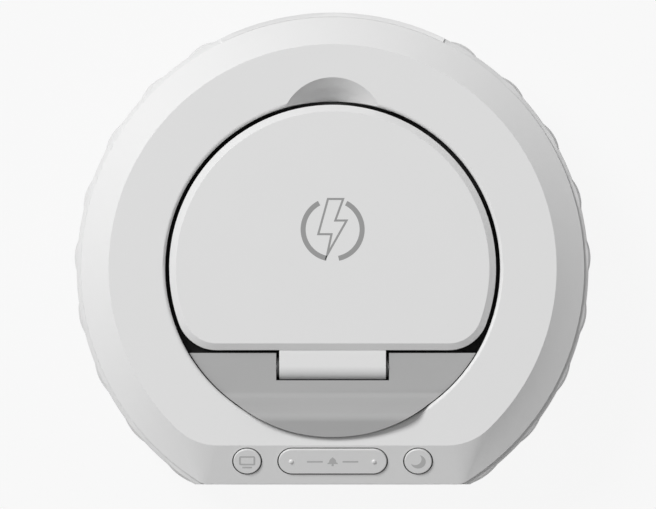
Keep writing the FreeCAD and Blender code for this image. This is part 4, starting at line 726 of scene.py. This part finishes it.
rear = {"keyFace": 71.3, "keyHeight": 29.6, "keyEdge": 0.25, "keySteps": 3, "socketEdge": 0.08,
        "keys": {"plus_key": 2.5, "minus_key": 10.5, "set_key": 18.5}, "socket": (10.5, 19.1),
        "contacts": 8, "contactFrom": 66.6, "contactTo": 69.5, "contactWide": 0.3,
        "contactPitch": 0.68, "contactThick": 0.06, "tongueHalf": 0.35}
rearTurn = Matrix(((-1, 0, 0, 0), (0, 0, 1, 0), (0, 1, 0, 0), (0, 0, 0, 1)))
keyMarks = {
    "plus_key": [(bar(2.2, 0.45), (0, 0)), (bar(0.45, 0.875), (0, 0.6625)),
                 (bar(0.45, 0.875), (0, -0.6625))],
    "minus_key": [(bar(2.2, 0.45), (0, 0))],
    "set_key": [(arcBand(0.85, 1.2, 0, 180, 16), (0, 0)),
                (arcBand(0.85, 1.2, 180, 360, 16), (0, 0)),
                (bar(0.28, 0.6), (0, 0.3)), (bar(0.5, 0.28), (0.25, 0))],
}
for node, x in rear["keys"].items():
    name = node.replace("_k", "K")
    shape = soften(taken(node), rear["keyEdge"], rear["keySteps"])
    finishPiece(name, shape, "keyGrey", node, [node])
    keyPlace = Matrix.Translation((x * mm, rear["keyFace"] * mm, rear["keyHeight"] * mm)) @ rearTurn
    printed(name + "Mark", joined(*keyMarks[node]), keyPlace, "keyMark", node)

powerSocket = soften(taken("power_socket"), rear["socketEdge"])
finishPiece("powerSocket", powerSocket, "steel", "case", ["power_socket"])
contactLong = rear["contactTo"] - rear["contactFrom"]
contacts = [(bar(rear["contactWide"], contactLong),
             ((index - (rear["contacts"] - 1) / 2) * rear["contactPitch"], 0))
            for index in range(rear["contacts"])]
contactPlace = Matrix.Translation((
    rear["socket"][0] * mm, (rear["contactFrom"] + contactLong / 2) * mm,
    (rear["socket"][1] + rear["tongueHalf"]) * mm))
printed("socketContacts", joined(*contacts), contactPlace, "gilt", "case",
        height=rear["contactThick"])

# speaker: dust cap, cone, surround, frame and magnet in one profile of radius and depth

speaker = {"middle": (-12.5, 24.6), "steps": 64, "profile": [
    (0, 67.5), (1.2, 67.4), (2.2, 67.0), (2.8, 66.2), (3.1, 65.9), (6.6, 67.3), (6.9, 67.6),
    (7.3, 67.9), (7.8, 67.9), (8.2, 67.5), (8.5, 67.4), (8.7, 68.4), (9.9, 68.4), (10.0, 68.3),
    (10.0, 67.3), (8.8, 67.0), (7.0, 63.9), (6.0, 63.9), (6.0, 58.6), (5.8, 58.4), (0, 58.4)]}
cone = bmesh.new()
ring = [cone.verts.new((radius * mm, y * mm, 0)) for radius, y in speaker["profile"]]
for first, second in zip(ring, ring[1:]):
    cone.edges.new((first, second))
bmesh.ops.spin(cone, geom=list(cone.edges) + list(cone.verts), cent=(0, 0, 0), axis=(0, 1, 0),
               angle=math.tau, steps=speaker["steps"], use_merge=True)
bmesh.ops.remove_doubles(cone, verts=cone.verts, dist=same)
bmesh.ops.translate(cone, vec=(speaker["middle"][0] * mm, 0, speaker["middle"][1] * mm),
                    verts=cone.verts)
bmesh.ops.recalc_face_normals(cone, faces=cone.faces)
finishPiece("speakerUnit", cone, "coneBlack", "case", ["speaker"])
print("rear bay made")

# charging coil: round wire, turn beside turn

coil = {"inner": 10.0, "outer": 22.0, "wire": 1.2, "loose": 0.98, "steps": 96, "sides": 10,
        "smooth": 80}
low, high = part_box("charge_coil")
coilMiddle = (Vector(low) + Vector(high)) / 2
turnCount = round((coil["outer"] - coil["inner"]) / coil["wire"])
winding = bmesh.new()
for index in range(turnCount):
    radius = coil["inner"] + (index + 0.5) * (coil["outer"] - coil["inner"]) / turnCount
    loop = bmesh.ops.create_circle(
        winding, segments=coil["sides"], radius=coil["wire"] / 2 * mm * coil["loose"],
        matrix=Matrix.Translation((radius * mm, 0, 0)) @ quarterTurn)["verts"]
    edges = {edge for vert in loop for edge in vert.link_edges}
    bmesh.ops.spin(winding, geom=list(edges) + loop, cent=(0, 0, 0), axis=(0, 0, 1), angle=math.tau,
                   steps=coil["steps"], use_merge=True)
bmesh.ops.remove_doubles(winding, verts=winding.verts, dist=same)
bmesh.ops.translate(winding, vec=coilMiddle, verts=winding.verts)
bmesh.ops.recalc_face_normals(winding, faces=winding.faces)
finishPiece("coilWinding", winding, "copper", "flip_pad", ["charge_coil"],
            smooth=coil["smooth"])
print("coil wound:", turnCount, "turns")

# carried-over solids

carried = {
    "ballast_plate": "ballast", "ferrite_plate": "ferrite", "pad_circuit_board": "plainBoard",
    "hinge_pin": "steel", "hinge_bush_left": "bushPlastic", "hinge_bush_right": "bushPlastic",
    "button_board": "slopingBoard", "button_switches": "innerBlack", "led_strip_left": "lampBoard",
    "led_strip_right": "lampBoard", "key_board": "uprightBoard", "key_switches": "innerBlack",
    "display_module": "innerBlack", "main_board": "mainBoard", "cell_holder": "innerBlack",
    "backup_cell": "steel", "case_screws": "steel", "tray_screws": "steel", "pad_screws": "steel",
    "board_screws": "steel",
}
for node, finish in carried.items():
    nodes[node].data.materials.clear()
    nodes[node].data.materials.append(finishes[finish])
print("carried-over solids finished:", len(carried))

# floor, light and camera

studio = {"back": 0.939, "share": 0.04, "floor": 12.0, "floorGrey": 0.86, "floorLit": 0.785,
          "floorDrop": -0.1, "ambient": 0.281, "keyFrom": (-0.3065, 0.281, 0.505),
          "keyStrength": 2.57, "keyDistance": 6.0, "keySide": 2.1}


def seenDirectly(tree):
    # camera, mirror and see-through rays
    path = addNode(tree, "ShaderNodeLightPath").outputs
    plain = mathNode(tree, "MAXIMUM", path["Is Camera Ray"], path["Is Glossy Ray"])
    return mathNode(tree, "MAXIMUM", plain, path["Is Transmission Ray"])


world = bpy.data.worlds.new("studio")
world.use_nodes = True
bpy.context.scene.world = world
sky = world.node_tree
ambient = sky.nodes["Background"]
ambient.inputs["Color"].default_value = (1, 1, 1, 1)
ambient.inputs["Strength"].default_value = studio["ambient"]
pale = addNode(sky, "ShaderNodeBackground", Color=(studio["back"],) * 3 + (1,), Strength=1.0)
chosen = addNode(sky, "ShaderNodeMixShader",
                 {0: seenDirectly(sky), 1: ambient.outputs[0], 2: pale.outputs[0]})
sky.links.new(chosen.outputs[0], sky.nodes["World Output"].inputs["Surface"])

# a floor that only darkens a little in the object's shadow, seen from above only

floorMaterial, floorTree, floorSurface = newMaterial("paleFloor")
setShader(floorSurface, Base_Color=(studio["floorGrey"],) * 3 + (1,), Roughness=0.9,
          Specular_IOR_Level=0.0)
glow = addNode(
    floorTree, "ShaderNodeEmission", Color=(1, 1, 1, 1),
    Strength=(studio["back"] - studio["share"] * studio["floorLit"]) / (1 - studio["share"]))
washed = addNode(floorTree, "ShaderNodeMixShader",
                 {1: floorSurface.outputs[0], 2: glow.outputs[0]}, Fac=1 - studio["share"])
seenFloor = addNode(floorTree, "ShaderNodeMixShader",
                    {0: seenDirectly(floorTree), 1: floorSurface.outputs[0], 2: washed.outputs[0]})
behind = addNode(floorTree, "ShaderNodeNewGeometry").outputs["Backfacing"]
clear = addNode(floorTree, "ShaderNodeBsdfTransparent")
oneSided = addNode(floorTree, "ShaderNodeMixShader",
                   {0: behind, 1: seenFloor.outputs[0], 2: clear.outputs[0]})
floorTree.links.new(oneSided.outputs[0], floorTree.nodes["Material Output"].inputs["Surface"])
floorMesh = bmesh.new()
bmesh.ops.create_grid(floorMesh, x_segments=1, y_segments=1, size=studio["floor"] / 2)
floorData = bpy.data.meshes.new("floor")
floorMesh.to_mesh(floorData)
floorMesh.free()
floor = bpy.data.objects.new("floor", floorData)
floor.location.z = studio["floorDrop"] * mm
bpy.context.scene.collection.objects.link(floor)
floorData.materials.append(floorMaterial)

keyData = bpy.data.lights.new("keyLight", "AREA")
keyData.shape = "SQUARE"
keyData.size = studio["keySide"]
keyData.energy = studio["keyStrength"] * math.pi * studio["keyDistance"] ** 2
keyLight = bpy.data.objects.new("keyLight", keyData)
towards = Vector(studio["keyFrom"]).normalized()
keyLight.location = towards * studio["keyDistance"]
keyLight.rotation_euler = towards.to_track_quat("Z", "Y").to_euler()
bpy.context.scene.collection.objects.link(keyLight)

camera = {"target": (-1.35, 3.95, 48.0), "lean": 1.2, "distance": 4000.0, "width": 191.8,
          "sensor": 36.0, "clip": (0.1, 50.0)}
viewer = bpy.data.objects.new("viewer", bpy.data.cameras.new("viewer"))
viewer.data.sensor_width = camera["sensor"]
viewer.data.lens = camera["sensor"] * camera["distance"] / camera["width"]
viewer.data.clip_start, viewer.data.clip_end = camera["clip"]
tilt = math.radians(camera["lean"])
away = Vector((0, -math.sin(tilt), math.cos(tilt)))
viewer.location = Vector(camera["target"]) * mm + away * camera["distance"] * mm
viewer.rotation_euler = (tilt, 0, 0)
bpy.context.scene.collection.objects.link(viewer)
bpy.context.scene.camera = viewer
bpy.context.scene.view_settings.view_transform = "Standard"
print("studio set up")
